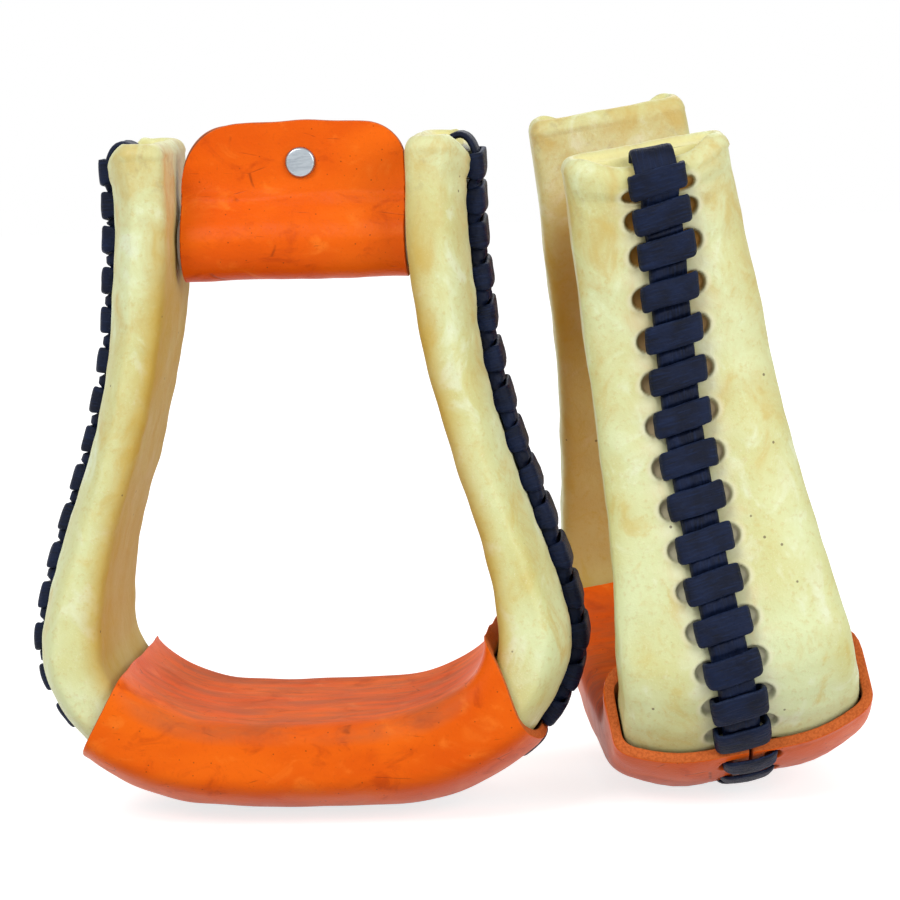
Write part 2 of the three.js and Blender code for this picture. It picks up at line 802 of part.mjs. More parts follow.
function sleeveTurns() {
  const first = lengthAtSleeveEnd(sleeveLine, outsideSleeveReach, outsideSleeveHeight, true);
  const last = lengthAtSleeveEnd(sleeveLine, insideSleeveReach, insideSleeveHeight, false);
  const room = last - first - 2 * sleeveEndMargin;
  const count = Math.max(2, Math.round(room / sleevePitch));
  const turns = [];
  for (let k = 0; k <= count; k += 1) turns.push(first + sleeveEndMargin + (room * k) / count);
  return turns;
}

function sleeveSkin(numbers, offset, fine) {
  return sweepSolid(numbers.map((number) => {
    const station = stationAt(number);
    return ringOf(station, skinSection(station, offset, { radius: edgeRadius - offset, fine }));
  }));
}

function treadSleeve() {
  const outer = sleeveSkin(sleeveNumbers, sleeveOffset, true);
  const first = sleeveNumbers[0] - stationStep;
  const last = lastStation - first;
  const inner = sleeveSkin([first, ...sleeveNumbers.slice(1, -1), last], -sleeveRoom, true);
  let sleeve = outer.subtract(inner).intersect(sleeveSpan());
  const lengths = sleeveLine.map((stop) => stop.length);
  const seam = [-overrun, ...lengths.slice(1, -1), lineLength(sleeveLine) + overrun];
  const seamLow = -leatherThickness - overrun / 4;
  sleeve = sleeve.subtract(bandSolid(sleeveLine, seam, seamGap / 2, seamLow, overrun));
  for (const length of sleeveTurns()) {
    const low = leatherThickness + overrun / 4;
    sleeve = sleeve
      .subtract(holeSolid(sleeveLine, length - laceSlant / 2, 1, sleeveHole, low))
      .subtract(holeSolid(sleeveLine, length + laceSlant / 2, -1, sleeveHole, low));
  }
  return sleeve;
}

function sleeveLace() {
  const stops = laceStops(sleeveLine, sleeveTurns(), sleeveOver, sleeveUnder, sleevePitch * sleeveTailShare);
  return { solid: laceSolid(sleeveLine, stops), gap: leastTurnGap(sleeveLine, stops) };
}

// Shares of the bolt head's radius and height that its dome steps through, and of the thread's end
const boltDomeShares = [[0, 1], [0.6, 0.85], [1, 0.35]];
const threadTipShare = 0.85;

// Neck bolt: a domed head on the left seat, its thread ending past the nut on the right seat
function neckBolt() {
  const nutEnd = clearance * 3 + washerThickness + nutHeight + threadPastNut;
  const length = 2 * seatX + nutEnd;
  const radius = boltDiameter / 2;
  const headRadius = boltHeadDiameter / 2;
  const dome = boltDomeShares.map(([out, up]) => [headRadius * out, -boltHeadHeight * up - clearance]);
  const profile = [
    ...dome,
    [headRadius, -clearance],
    [radius, -clearance],
    [radius, length - radius * (1 - threadTipShare)],
    [radius * threadTipShare, length],
    [0, length],
  ];
  return turnedToX(latheSolid(profile, boltSides), -seatX, boltHeight);
}

function ringSolid(outerRadius, innerRadius, length, sides) {
  const profile = [
    [innerRadius, 0],
    [outerRadius, 0],
    [outerRadius, length],
    [innerRadius, length],
    [innerRadius, 0],
  ];
  return latheSolid(profile, sides);
}

function boltWasher() {
  const ring = ringSolid(washerDiameter / 2, boltHoleRadius, washerThickness, hardwareSides);
  return turnedToX(ring, seatX + clearance, boltHeight);
}

function boltNut() {
  const outline = new THREE.Shape();
  const corner = nutAcrossFlats / Math.sqrt(3);
  for (let k = 0; k < nutSides; k += 1) {
    const angle = ((2 * Math.PI) / nutSides) * k;
    const point = [corner * Math.cos(angle), corner * Math.sin(angle)];
    if (k === 0) outline.moveTo(...point);
    else outline.lineTo(...point);
  }
  outline.closePath();
  const geometry = new THREE.ExtrudeGeometry(outline, { depth: nutHeight, bevelEnabled: false });
  const hex = solidFromGeometry(geometry).rotate([0, 90, 0]);
  const x = seatX + clearance * 2 + washerThickness;
  const bore = cylinderSolid(boltHoleRadius, treadWidth, boltSides);
  return hex.translate([x, 0, boltHeight]).subtract(turnedToX(bore, x, boltHeight));
}

function roller() {
  const length = neckWidth - 2 * rollerEndPlay;
  const ring = ringSolid(rollerDiameter / 2, boltHoleRadius, length, hardwareSides);
  return turnedToX(ring, -length / 2, boltHeight);
}

// How far the wrap hugs its roller past half a turn, and how much lower its back ply stands
const hugTurnShare = 0.08;
const backDropShare = 0.3;

// Side view of the wrap: two plies pinched together above, parted round the roller below
function wrapOutline() {
  const insideRadius = rollerDiameter / 2 + clearance * 2;
  const outsideRadius = insideRadius + leatherThickness;
  const face = clearance / 2;
  const shape = new THREE.Shape();
  const arcSteps = 10;
  const wideAngle = Math.PI * hugTurnShare;
  const outer = [];
  const inner = [];
  for (let k = 0; k <= arcSteps; k += 1) {
    const angle = mix(-wideAngle, Math.PI + wideAngle, k / arcSteps);
    outer.push([outsideRadius * Math.cos(angle), boltHeight - outsideRadius * Math.sin(angle)]);
    inner.push([insideRadius * Math.cos(angle), boltHeight - insideRadius * Math.sin(angle)]);
  }
  const top = wrapTopHeight + overrun;
  const points = [
    [face + leatherThickness, top],
    [face + leatherThickness, pinchHeight],
    ...outer,
    [-face - leatherThickness, pinchHeight],
    [-face - leatherThickness, top],
    [-face, top],
    [-face, pinchHeight],
    ...inner.reverse(),
    [face, pinchHeight],
    [face, top],
  ];
  points.forEach(([y, z], k) => (k === 0 ? shape.moveTo(y, z) : shape.lineTo(y, z)));
  shape.closePath();
  return shape;
}

// Front view of one ply, with its rounded top corners
function plyOutline(shift, leftRadius) {
  const half = wrapWidth / 2;
  const top = wrapTopHeight - shift * backDropShare;
  const low = boltHeight - rollerDiameter * 2;
  const shape = new THREE.Shape();
  const steps = 6;
  shape.moveTo(half, low);
  const corner = (x, z, radius, from) => {
    for (let k = 0; k <= steps; k += 1) {
      const angle = from + (Math.PI / 2) * (k / steps);
      const arch = wrapArch * ((x + radius * Math.cos(angle)) / half) ** 2;
      shape.lineTo(x + radius * Math.cos(angle), z + radius * Math.sin(angle) - arch);
    }
  };
  corner(half - wrapRightRadius, top - wrapRightRadius, wrapRightRadius, 0);
  shape.lineTo(0, top);
  corner(-half + leftRadius, top - leftRadius, leftRadius, Math.PI / 2);
  shape.lineTo(-half, low);
  shape.closePath();
  return shape;
}

function neckWrap() {
  const long = new THREE.ExtrudeGeometry(wrapOutline(), { depth: wrapWidth, bevelEnabled: false });
  const folded = solidFromGeometry(long).rotate([90, 0, 90]).translate([-wrapWidth / 2, 0, 0]);
  const plate = (shape, from, to) => {
    const geometry = new THREE.ExtrudeGeometry(shape, { depth: to - from, bevelEnabled: false });
    return solidFromGeometry(geometry).rotate([90, 0, 0]).translate([0, to, 0]);
  };
  const deep = rollerDiameter;
  const front = plate(plyOutline(0, wrapLeftRadius), -deep, 0);
  const back = plate(plyOutline(wrapBackShift, wrapLeftRadius - wrapBackShift * 2), 0, deep);
  const bore = cylinderSolid(rivetPostDiameter / 2 + clearance * 2, deep * 2, screwSides);
  return folded.intersect(front.add(back)).subtract(bore.translate([rivetOffset, 0, rivetHeight]));
}

// Rivet: a low domed head with its post on the front, and a flat cap on the back
const plyFace = clearance / 2 + leatherThickness;
const rivetDomeShares = [[0, 1], [0.55, 0.88]];
const postInCapShare = 0.8;

function wrapRivet() {
  const radius = rivetHeadDiameter / 2;
  const post = rivetPostDiameter / 2;
  const postEnd = 2 * plyFace + 2 * clearance + rivetCapHeight * postInCapShare;
  const profile = [
    ...rivetDomeShares.map(([out, up]) => [radius * out, -rivetHeadHeight * up]),
    [radius, -rivetRimHeight],
    [radius, 0],
    [post, 0],
    [post, postEnd],
    [0, postEnd],
  ];
  return latheSolid(profile, hardwareSides).translate([rivetOffset, -plyFace - clearance, rivetHeight]);
}

function rivetCap() {
  const bore = rivetPostDiameter / 2 + clearance;
  const ring = ringSolid(rivetCapDiameter / 2, bore, rivetCapHeight, hardwareSides);
  return ring.translate([rivetOffset, plyFace + clearance, rivetHeight]);
}

// Every fixed piece of one stirrup, as name, solid and material
function stirrupPieces() {
  const outsideLace = railLace(railLaceEnds.outside);
  const insideLace = railLace(railLaceEnds.inside);
  const bottomLace = sleeveLace();
  const gaps = [outsideLace.gap, insideLace.gap, bottomLace.gap];
  console.log('Least room between lace turns', gaps.map((gap) => gap.toFixed(2)).join(' '));
  return [
    ['bentwood_frame', bentStrip(), wood],
    ['tread_block', treadBlock(), wood],
    ...screwSolids(0).map((screw, k) => [`tread_screw_${k + 1}`, screw, steel]),
    ['outside_rawhide', railCover(railLaceEnds.outside), rawhide],
    ['inside_rawhide', railCover(railLaceEnds.inside).rotate([0, 0, 180]), rawhide],
    ['outside_seam_strip', seamStrip(railLaceEnds.outside), laceLeather],
    ['inside_seam_strip', seamStrip(railLaceEnds.inside).rotate([0, 0, 180]), laceLeather],
    ['outside_lace', outsideLace.solid, laceLeather],
    ['inside_lace', insideLace.solid.rotate([0, 0, 180]), laceLeather],
    ['tread_sleeve', treadSleeve(), saddleLeather],
    ['sleeve_lace', bottomLace.solid, laceLeather],
    ['neck_bolt', neckBolt(), steel],
    ['bolt_washer', boltWasher(), steel],
    ['bolt_nut', boltNut(), steel],
  ];
}

// What turns on the neck bolt, turned as it stands
function wrapPieces(turnDegrees) {
  const turned = (solid) => solid.translate([0, 0, -boltHeight]).rotate([turnDegrees, 0, 0])
    .translate([0, 0, boltHeight]);
  return [
    ['neck_roller', turned(roller()), polymer],
    ['neck_wrap', turned(neckWrap()), saddleLeather],
    ['wrap_rivet', turned(wrapRivet()), nickel],
    ['rivet_cap', turned(rivetCap()), nickel],
  ];
}

function stirrupGroup(prefix, pieces) {
  const group = new THREE.Group();
  for (const [name, solid, material] of pieces) {
    const mesh = new THREE.Mesh(geometryFromSolid(solid), material);
    mesh.name = `${prefix}_${name}`;
    group.add(mesh);
  }
  return group;
}

const pieces = stirrupPieces();
const near = stirrupGroup('near', [...pieces, ...wrapPieces(0)]);
const off = stirrupGroup('off', [...pieces, ...wrapPieces(offWrapTurnDegrees)]);

// The off stirrup is turned beside the near one, leans on its crowned tread and rocks a little
off.rotation.order = 'ZXY';
off.rotation.set(
  THREE.MathUtils.degToRad(offLeanDegrees),
  THREE.MathUtils.degToRad(offRockDegrees),
  THREE.MathUtils.degToRad(offTurnDegrees),
);
off.position.set(pairOffsetX, pairOffsetY, 0);

// Both stand on the ground, and the pair's box is centred over the origin
const pair = new THREE.Group();
pair.add(near, off);
pair.updateMatrixWorld(true);
const preciseBox = (object) => new THREE.Box3().setFromObject(object, true);
near.position.z -= preciseBox(near).min.z;
off.position.z -= preciseBox(off).min.z;
pair.updateMatrixWorld(true);
const box = preciseBox(pair);
pair.position.set(-(box.min.x + box.max.x) / 2, -(box.min.y + box.max.y) / 2, 0);
pair.updateMatrixWorld(true);

export default pair;
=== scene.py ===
import math

import bpy
import numpy as np
from mathutils import Matrix, Quaternion, Vector


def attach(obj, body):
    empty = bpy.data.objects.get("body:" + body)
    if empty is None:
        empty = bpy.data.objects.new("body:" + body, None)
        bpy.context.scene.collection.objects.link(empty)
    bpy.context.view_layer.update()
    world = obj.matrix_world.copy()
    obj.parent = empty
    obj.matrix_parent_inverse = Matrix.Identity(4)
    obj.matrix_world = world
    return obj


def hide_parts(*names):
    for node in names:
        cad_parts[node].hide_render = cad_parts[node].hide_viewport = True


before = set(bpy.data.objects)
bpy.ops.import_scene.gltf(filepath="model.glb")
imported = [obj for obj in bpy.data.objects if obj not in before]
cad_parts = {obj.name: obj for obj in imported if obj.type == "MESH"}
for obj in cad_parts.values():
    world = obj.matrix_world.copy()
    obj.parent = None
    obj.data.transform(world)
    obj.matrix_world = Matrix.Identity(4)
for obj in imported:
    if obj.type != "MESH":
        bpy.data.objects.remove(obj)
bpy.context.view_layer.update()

MM = 0.001

# Sizes, in millimetres
NECK_WIDTH, TREAD_WIDTH = 76.2, 126.0
RAIL_TOP, CORNER_HEIGHT, TREAD_TOP = 218.5, 59.3, 30.8
RAIL_DEPTH, TREAD_DEPTH = 53.5, 77.5
RAIL_THICKNESS, CORNER_THICKNESS, TREAD_THICKNESS = 12.0, 17.6, 14.9
RAIL_CROWN, TREAD_CROWN = 6.3, 9.5
CREST_REACH = 12.6
RAWHIDE, LEATHER, CLEARANCE, SLEEVE_ROOM = 2.0, 3.2, 0.35, 0.6

# Shares of the outline's rows: reach, height, thickness, depth, crown
RAIL_ROWS = [
    (0, 0.967, 0.268, 0, 0), (0, 0.822, 0.25, 0.06, 0), (0.048, 0.685, 0.32, 0.146, 0),
    (0.181, 0.555, 0.125, 0.2, 0), (0.474, 0.374, 0, 0.33, 0), (0.775, 0.224, 0.07, 0.5, 0),
    (0.952, 0.1, 0.518, 0.71, 0), (1, 0, 1, 0.875, 0)]
TREAD_ROWS = [
    (0.975, 0.712, 1, 0.96, 0.06), (0.894, 0.46, 0.83, 1, 0.2), (0.73, 0.221, 0.55, 1, 0.5),
    (0.532, 0.067, 0.19, 1, 0.8), (0.286, 0.014, 0.02, 1, 0.97), (0, 0, 0, 1, 1)]
LAST = 2 * (len(RAIL_ROWS) + len(TREAD_ROWS) - 1)


def mix(a, b, t):
    return a + (b - a) * t


def show(thing):
    """Puts a new object in the scene."""
    bpy.context.scene.collection.objects.link(thing)
    return thing


def smooth(edge0, edge1, value):
    """Rises from 0 to 1 between two levels of a value."""
    t = np.clip((np.asarray(value, float) - edge0) / (edge1 - edge0), 0, 1)
    return t * t * (3 - 2 * t)


def run_along(points):
    """Length of the line through the points, up to each of them."""
    steps = np.linalg.norm(np.diff(points, axis=0), axis=1)
    return np.concatenate([[0], np.cumsum(steps)])


def outline_rows():
    rows = []
    for reach, height, thick, depth, crown in RAIL_ROWS:
        rows.append((mix(NECK_WIDTH, TREAD_WIDTH, reach) / 2, mix(CORNER_HEIGHT, RAIL_TOP, height),
                     mix(RAIL_THICKNESS, CORNER_THICKNESS, thick), depth, crown))
    for reach, height, thick, depth, crown in TREAD_ROWS:
        rows.append((TREAD_WIDTH / 2 * reach, mix(TREAD_TOP, CORNER_HEIGHT, height),
                     mix(TREAD_THICKNESS, CORNER_THICKNESS, thick), depth, crown))
    rows = np.array(rows)
    rows[:, 3] = mix(RAIL_DEPTH, TREAD_DEPTH, rows[:, 3])
    rows[:, 4] = mix(RAIL_CROWN, TREAD_CROWN, rows[:, 4])
    return np.vstack([rows, rows[-2::-1] * [-1, 1, 1, 1, 1]])


ROWS = outline_rows()


def curve(rows, number):
    """Value and slope of a uniform Catmull-Rom curve through the rows."""
    ends = np.vstack([2 * rows[0] - rows[1], rows, 2 * rows[-1] - rows[-2]])
    number = np.clip(np.asarray(number, float), 0, len(rows) - 1)
    k = np.minimum(number.astype(int), len(rows) - 2)
    t = (number - k)[..., None]
    p0, p1, p2, p3 = ends[k], ends[k + 1], ends[k + 2], ends[k + 3]
    m0, m1 = (p2 - p0) / 2, (p3 - p1) / 2
    a, b = 2 * p1 - 2 * p2 + m0 + m1, -3 * p1 + 3 * p2 - 2 * m0 - m1
    return ((a * t + b) * t + m0) * t + p1, (3 * a * t + 2 * b) * t + m0


class Station:
    """Places along the outline: inside point, the way out, and the section's sizes."""

    def __init__(self, number):
        self.number = np.asarray(number, float)
        value, slope = curve(ROWS, self.number)
        along = slope[..., :2] / np.linalg.norm(slope[..., :2], axis=-1, keepdims=True)
        self.x, self.z = value[..., 0], value[..., 1]
        self.out_x, self.out_z = -along[..., 1], along[..., 0]
        self.thick, self.half, self.crown = value[..., 2], value[..., 3] / 2, value[..., 4]

    def crest(self, side, offset=0.0):
        """How far out the crowned face lies at a side place, less an offset square to it."""
        fall = self.half - CREST_REACH
        past = np.maximum(0, np.abs(side) - CREST_REACH) / fall
        slope = 2 * self.crown * past / fall
        return self.thick + self.crown * (1 - past ** 2) - offset * np.hypot(1, slope)

    def point(self, side, out, rise=0.0):
        return np.stack(np.broadcast_arrays(self.x + self.out_x * out, side,
                                            self.z + self.out_z * out + rise), axis=-1)

    def shift(self, amount):
        """The way out from the outline, times an amount."""
        return np.stack([self.out_x * amount, 0 * amount, self.out_z * amount], axis=-1)

    def centre(self, side):
        """The middle of the section, once for each side place."""
        return self.point(0 * side, self.thick / 2)


# Share of the seam's length, and share of its greatest way aside there
WANDER_SHARES = [(0, 0.28), (0.14, 0.15), (0.2, -0.15), (0.3, -0.45), (0.4, -0.85), (0.5, -1),
                 (0.66, -1), (0.76, -0.8), (0.86, -0.55), (1, -0.45)]
LINE_PLACES = 900


class Line:
    """The crest line between two station numbers, measured by length, and how far its lacing lies aside."""

    def __init__(self, first, last, offset, wander=0.0):
        self.number = np.linspace(first, last, LINE_PLACES)
        self.offset, self.wander = offset, wander
        station = Station(self.number)
        self.length = run_along(station.point(0.0, station.crest(0.0, offset)))

    def at(self, length):
        return np.interp(length, self.length, self.number)

    def length_of(self, number):
        return np.interp(number, self.number, self.length)

    def aside(self, length):
        places, shares = zip(*WANDER_SHARES)
        return self.wander * np.interp(np.asarray(length) / self.length[-1], places, shares)

    def point(self, length, side, out):
        """A point over the lacing's line: side across it, out from the face."""
        station = Station(self.at(length))
        return station.point(side + self.aside(length), station.crest(0.0, self.offset) + out)


COVER_LAST, SEAM_WANDER = 9.2, 4.3
RAIL_LINE = Line(0, COVER_LAST, 0.0, SEAM_WANDER)
SLEEVE_OFFSET = -SLEEVE_ROOM - LEATHER
SLEEVE_LINE = Line(6, LAST - 6, SLEEVE_OFFSET)


# Small unevenness


def waves(points, size, seed, count=14):
    """Smooth uneven field of about unit spread, with features of about the given size."""
    rng = np.random.default_rng(seed)
    way = rng.normal(size=(count, 3))
    way /= np.linalg.norm(way, axis=1, keepdims=True)
    turn = 2 * math.pi / (size * rng.uniform(1.3, 2.8, count))
    phase = rng.uniform(0, 2 * math.pi, count)
    total = np.zeros(points.shape[:-1])
    for k in range(count):
        total += np.sin(points @ (way[k] * turn[k]) + phase[k])
    return total * math.sqrt(2 / count)


def ripple(place, parts):
    """Sum of sines, each with its own height, length and phase."""
    return sum(height * np.sin(place / length + phase) for height, length, phase in parts)


def unevenness(points, layers, seed):
    """Sum of uneven fields, each with its own feature size and amount."""
    return sum(waves(points, size, seed + k) * amount for k, (size, amount) in enumerate(layers))


def normals(grid, closed):
    if closed:
        across = np.roll(grid, -1, axis=1) - np.roll(grid, 1, axis=1)
    else:
        across = np.gradient(grid, axis=1)
    normal = np.cross(np.gradient(grid, axis=0), across)
    size = np.linalg.norm(normal, axis=-1, keepdims=True)
    return normal / np.maximum(size, 1e-9)


def normals_from(centre, grid, closed):
    """Normals of a grid, all turned away from a centre."""
    way = normals(grid, closed)
    sign = np.sign(np.einsum("ijk,ijk->ij", way, grid - centre))
    return way * np.where(sign == 0, 1, sign)[..., None]


# Mesh helpers


def strip_faces(first, second, closed):
    """Quads between two rows of vertex numbers."""
    if closed:
        first, second = np.append(first, first[0]), np.append(second, second[0])
    return np.stack([first[:-1], first[1:], second[1:], second[:-1]], axis=1)


def facing(points, faces):
    """Above zero where the faces look outwards: about six times the volume that they enclose."""
    first = points[[face[0] for face in faces]]
    total = 0.0
    for a, b in ((1, 2), (2, 3)):
        use = np.array([len(face) > b for face in faces])
        second = points[[face[min(a, len(face) - 1)] for face in faces]]
        third = points[[face[min(b, len(face) - 1)] for face in faces]]
        total += (np.einsum("ij,ij->i", first, np.cross(second, third)) * use).sum()
    return total


class Solid:
    """Vertices, faces and named values of one closed piece."""

    def __init__(self):
        self.points, self.faces, self.values, self.count = [], [], {}, 0

    def add(self, grid, **values):
        """Adds a grid of points and gives their numbers."""
        flat = grid.reshape(-1, 3)
        self.points.append(flat)
        numbers = np.arange(self.count, self.count + len(flat)).reshape(grid.shape[:-1])
        self.count += len(flat)
        for name, value in values.items():
            wide = np.broadcast_to(np.asarray(value, float), grid.shape[:-1]).reshape(-1)
            self.values.setdefault(name, []).append((numbers.reshape(-1), wide))
        return numbers

    def skin(self, numbers, closed):
        for first, second in zip(numbers, numbers[1:]):
            self.between(first, second, closed)

    def between(self, first, second, closed):
        self.faces.append(strip_faces(first, second, closed))

    def close_ends(self, numbers):
        for ring in (numbers[0], numbers[-1]):
            self.faces.append(np.array([ring]))

    def fold_shut(self, ring):
        """Closes a ring whose two halves lie on each other."""
        count = len(ring)
        for k in range((count - 1) // 2):
            quad = [ring[-k % count], ring[-(k + 1) % count], ring[k + 1], ring[k]]
            unique = list(dict.fromkeys(quad))
            if len(unique) > 2:
                self.faces.append(np.array([unique]))

    def build(self, name, place):
        """Makes the Blender object, turned and moved to its place."""
        points = np.concatenate(self.points)
        faces = [list(map(int, face)) for block in self.faces for face in block]
        if facing(points, faces) < 0:
            faces = [face[::-1] for face in faces]
        moved = (points * MM) @ place[0].T + place[1]
        mesh = bpy.data.meshes.new(name)
        mesh.from_pydata(moved.tolist(), [], faces)
        mesh.polygons.foreach_set("use_smooth", np.ones(len(faces), bool))
        for key, blocks in self.values.items():
            data = np.zeros(len(points))
            for numbers, values in blocks:
                data[numbers] = values
            layer = mesh.attributes.new(key, "FLOAT", "POINT")
            layer.data.foreach_set("value", data.astype(np.float32))
        mesh.validate()
        mesh.update()
        return show(bpy.data.objects.new(name, mesh))


def border(grid):
    """The closed loop of points round an open grid."""
    return np.concatenate([grid[0, :-1], grid[:-1, -1], grid[-1, :0:-1], grid[:0:-1, 0]])


def border_away(grid):
    """The way out of the grid at each point of its border."""
    inner = grid[1:-1, 1:-1]
    near = np.pad(inner, ((1, 1), (1, 1), (0, 0)), mode="edge")
    way = border(grid) - border(near)
    return way / np.maximum(np.linalg.norm(way, axis=-1, keepdims=True), 1e-9)


EDGE_STEPS = 6


def add_sheet(solid, outer, inner, bulge, outer_values):
    """Two faces of an open sheet and the rounded edge that joins them."""
    out_numbers = solid.add(outer, **outer_values)
    in_numbers = solid.add(inner, inner=1.0)
    solid.skin(out_numbers, False)
    solid.skin(in_numbers[:, ::-1], False)
    ring_out, ring_in = border(outer), border(inner)
    away = border_away(outer)
    middle, half = (ring_out + ring_in) / 2, (ring_out - ring_in) / 2
    loops = [border(out_numbers[..., None])[:, 0]]
    for k in range(1, EDGE_STEPS):
        angle = math.pi * k / EDGE_STEPS
        ring = middle + half * math.cos(angle) + away * bulge * math.sin(angle)
        loops.append(solid.add(ring, edge=1.0))
    loops.append(border(in_numbers[..., None])[:, 0])
    for first, second in zip(loops, loops[1:]):
        solid.between(second, first, True)


def with_close_ends(count, extra_shares):
    """Even places from 0 to 1, with more of them at shares of a step from both ends."""
    even = np.linspace(0, 1, count)
    extra = np.array(extra_shares) * even[1]
    return np.concatenate([[0], extra, even[1:-1], 1 - extra[::-1], [1]])


# Sections

INSIDE_SHARES = (0, 0.14, 0.28, 0.42, 0.56, 0.7, 0.82, 0.92)
INNER_CORNER_SHARES = (0, 0.2, 0.4, 0.6, 0.8, 1)
WALL_SHARES = (0.25, 0.5, 0.75)
OUTER_CORNER_SHARES = (0, 0.17, 0.34, 0.5, 0.66, 0.83, 1)
SLOPE_SHARES = (0.2, 0.4, 0.6, 0.8)
FINE_START, CORNER_SHARE, CORNER_LIFT = 14.2, 0.75, 0.1
FINE_SIDES = [FINE_START, 13.4, 12.7, 12.1, 11.6, 11.2, 10.8, 10.4, 9.9, 9.3, 8.7, 8.0, 7.2, 6.3, 5.4,
              4, 2, 0]
FACE_START = sum(map(len, (INSIDE_SHARES, INNER_CORNER_SHARES, WALL_SHARES, OUTER_CORNER_SHARES)))


def bend(share):
    """Weights of a rounded corner's start, corner and end."""
    return (1 - share) ** 2, 2 * share * (1 - share), share ** 2


def half_section(station, offset, inner_radius, outer_radius, fine, puff=0.0):
    """Half of a closed section, from the middle of the inside face to that of the outside."""
    half = station.half - offset
    side, out = [], []

    def put(s, o):
        side.append(np.broadcast_to(s, half.shape))
        out.append(np.broadcast_to(o, half.shape))

    for share in INSIDE_SHARES:
        put((half - inner_radius) * share, offset - puff * (1 - share ** 2))
    for share in INNER_CORNER_SHARES:
        a, b, c = bend(share)
        put((half - inner_radius) * a + half * (b + c), offset * (a + b) + (offset + inner_radius) * c)
    top = station.crest(half, offset)
    wall_end = top - outer_radius * CORNER_SHARE
    for share in WALL_SHARES:
        put(half, mix(offset + inner_radius, wall_end, share))
    ridge = half - outer_radius
    crest = station.crest(ridge, offset)
    for share in OUTER_CORNER_SHARES:
        a, b, c = bend(share)
        put(half * (a + b) + ridge * c, wall_end * a + (top + CORNER_LIFT) * b + crest * c)
    for s in [mix(ridge, FINE_START, share) for share in SLOPE_SHARES] + list(fine):
        put(s, station.crest(s, offset))
    return np.stack(side, -1), np.stack(out, -1)


def full_ring(side, out):
    """Both halves of a section, as one closed ring."""
    side = np.concatenate([side, -side[..., -2:0:-1]], axis=-1)
    out = np.concatenate([out, out[..., -2:0:-1]], axis=-1)
    return side, out


# Lacing

LACE_THICKNESS, RAIL_LACE_THICKNESS, LACE_WIDTH, HOLE_WIDTH, LACE_SLANT = 1.3, 1.7, 8.8, 5.6, 2.2
LACE_PITCH, LACE_TOP_PITCH, CLOSE_TURNS, CLOSE_LENGTH, FIRST_TURN = 13.3, 11.0, 2, 28, 4.6
RAIL_END = {"outside": 192.9, "inside": 197.5}
RAIL_HOLE = {"start": 4.6, "centre": 7.0, "tip": 11.9, "half_length": 3.9}
SLEEVE_HOLE = {"start": 4.6, "centre": 6.2, "tip": 10.2, "half_length": 4.4}
# Shares of a hole's reach between which its pit ends, its rim starts and its rim ends
PIT_END, RIM_START, RIM_END = (0.86, 1.04), (0.92, 1.08), (1.1, 1.5)

# Half a wrap as it lies over the strip or the sleeve: side, height and share of its width
RAIL_WRAP = [(0, 0.22, 1), (2.3, 0.22, 1), (4.4, 0.2, 1), (5.9, 0.12, 1), (6.9, -0.05, 1), (7.6, -0.32, 1),
             (8.0, -0.75, 0.99), (8.3, -1.4, 0.97), (8.4, -2.2, 0.94), (8.4, -3.1, 0.9)]
SLEEVE_WRAP = [(0, 0.25, 1), (2, 0.18, 1), (4, 0.02, 1), (5.6, -0.2, 0.99), (6.7, -0.5, 0.95),
               (7.5, -0.95, 0.88), (8.0, -1.5, 0.8), (8.2, -2.2, HOLE_WIDTH / LACE_WIDTH)]
# The way back under the face: side, and height over the run inside
UNDER_TURN = [(8.1, 1.1), (7.4, 0.25), (6.0, 0.0)]
RAIL_LEAN, SLEEVE_LEAN, WRAP_PUFF = (0.1, 0.3), (0.16, 0.42), (-0.05, 0.18)
SHIFT_SPREAD, TILT_SPREAD, WIDTH_SPREAD = 0.22, 0.25, 0.18
LACE_CROWN, LACE_LUMP_SIZE, LACE_LUMP = 0.08, 2.4, 0.05
BAND_SHARES = np.array([-1, -0.985, -0.93, -0.8, -0.55, -0.25, 0, 0.25, 0.55, 0.8, 0.93, 0.985, 1])


def rail_turns(end):
    turns, length = [], FIRST_TURN
    while length <= end - LACE_WIDTH / 2 - LACE_SLANT:
        turns.append(length)
        length += LACE_TOP_PITCH if len(turns) <= CLOSE_TURNS else LACE_PITCH
    return np.array(turns)


def hole_field(length, side, turns, hole):
    """For each place: 1 within a lace hole, 1 on its rim, and the length to the nearest hole."""
    pit = np.zeros(np.broadcast(length, side).shape)
    rim = np.zeros_like(pit)
    near = np.full(pit.shape, np.inf)
    across = np.abs(side) - hole["centre"]
    reach = np.where(across > 0, hole["tip"] - hole["centre"], hole["centre"] - hole["start"])
    for turn in turns:
        along = np.abs(length - np.where(side > 0, turn - LACE_SLANT / 2, turn + LACE_SLANT / 2))
        away = np.sqrt((along / hole["half_length"]) ** 2.2 + (np.abs(across) / reach) ** 1.9)
        pit = np.maximum(pit, 1 - smooth(*PIT_END, away))
        rim = np.maximum(rim, smooth(*RIM_START, away) * (1 - smooth(*RIM_END, away)))
        near = np.minimum(near, along)
    return pit, rim, near


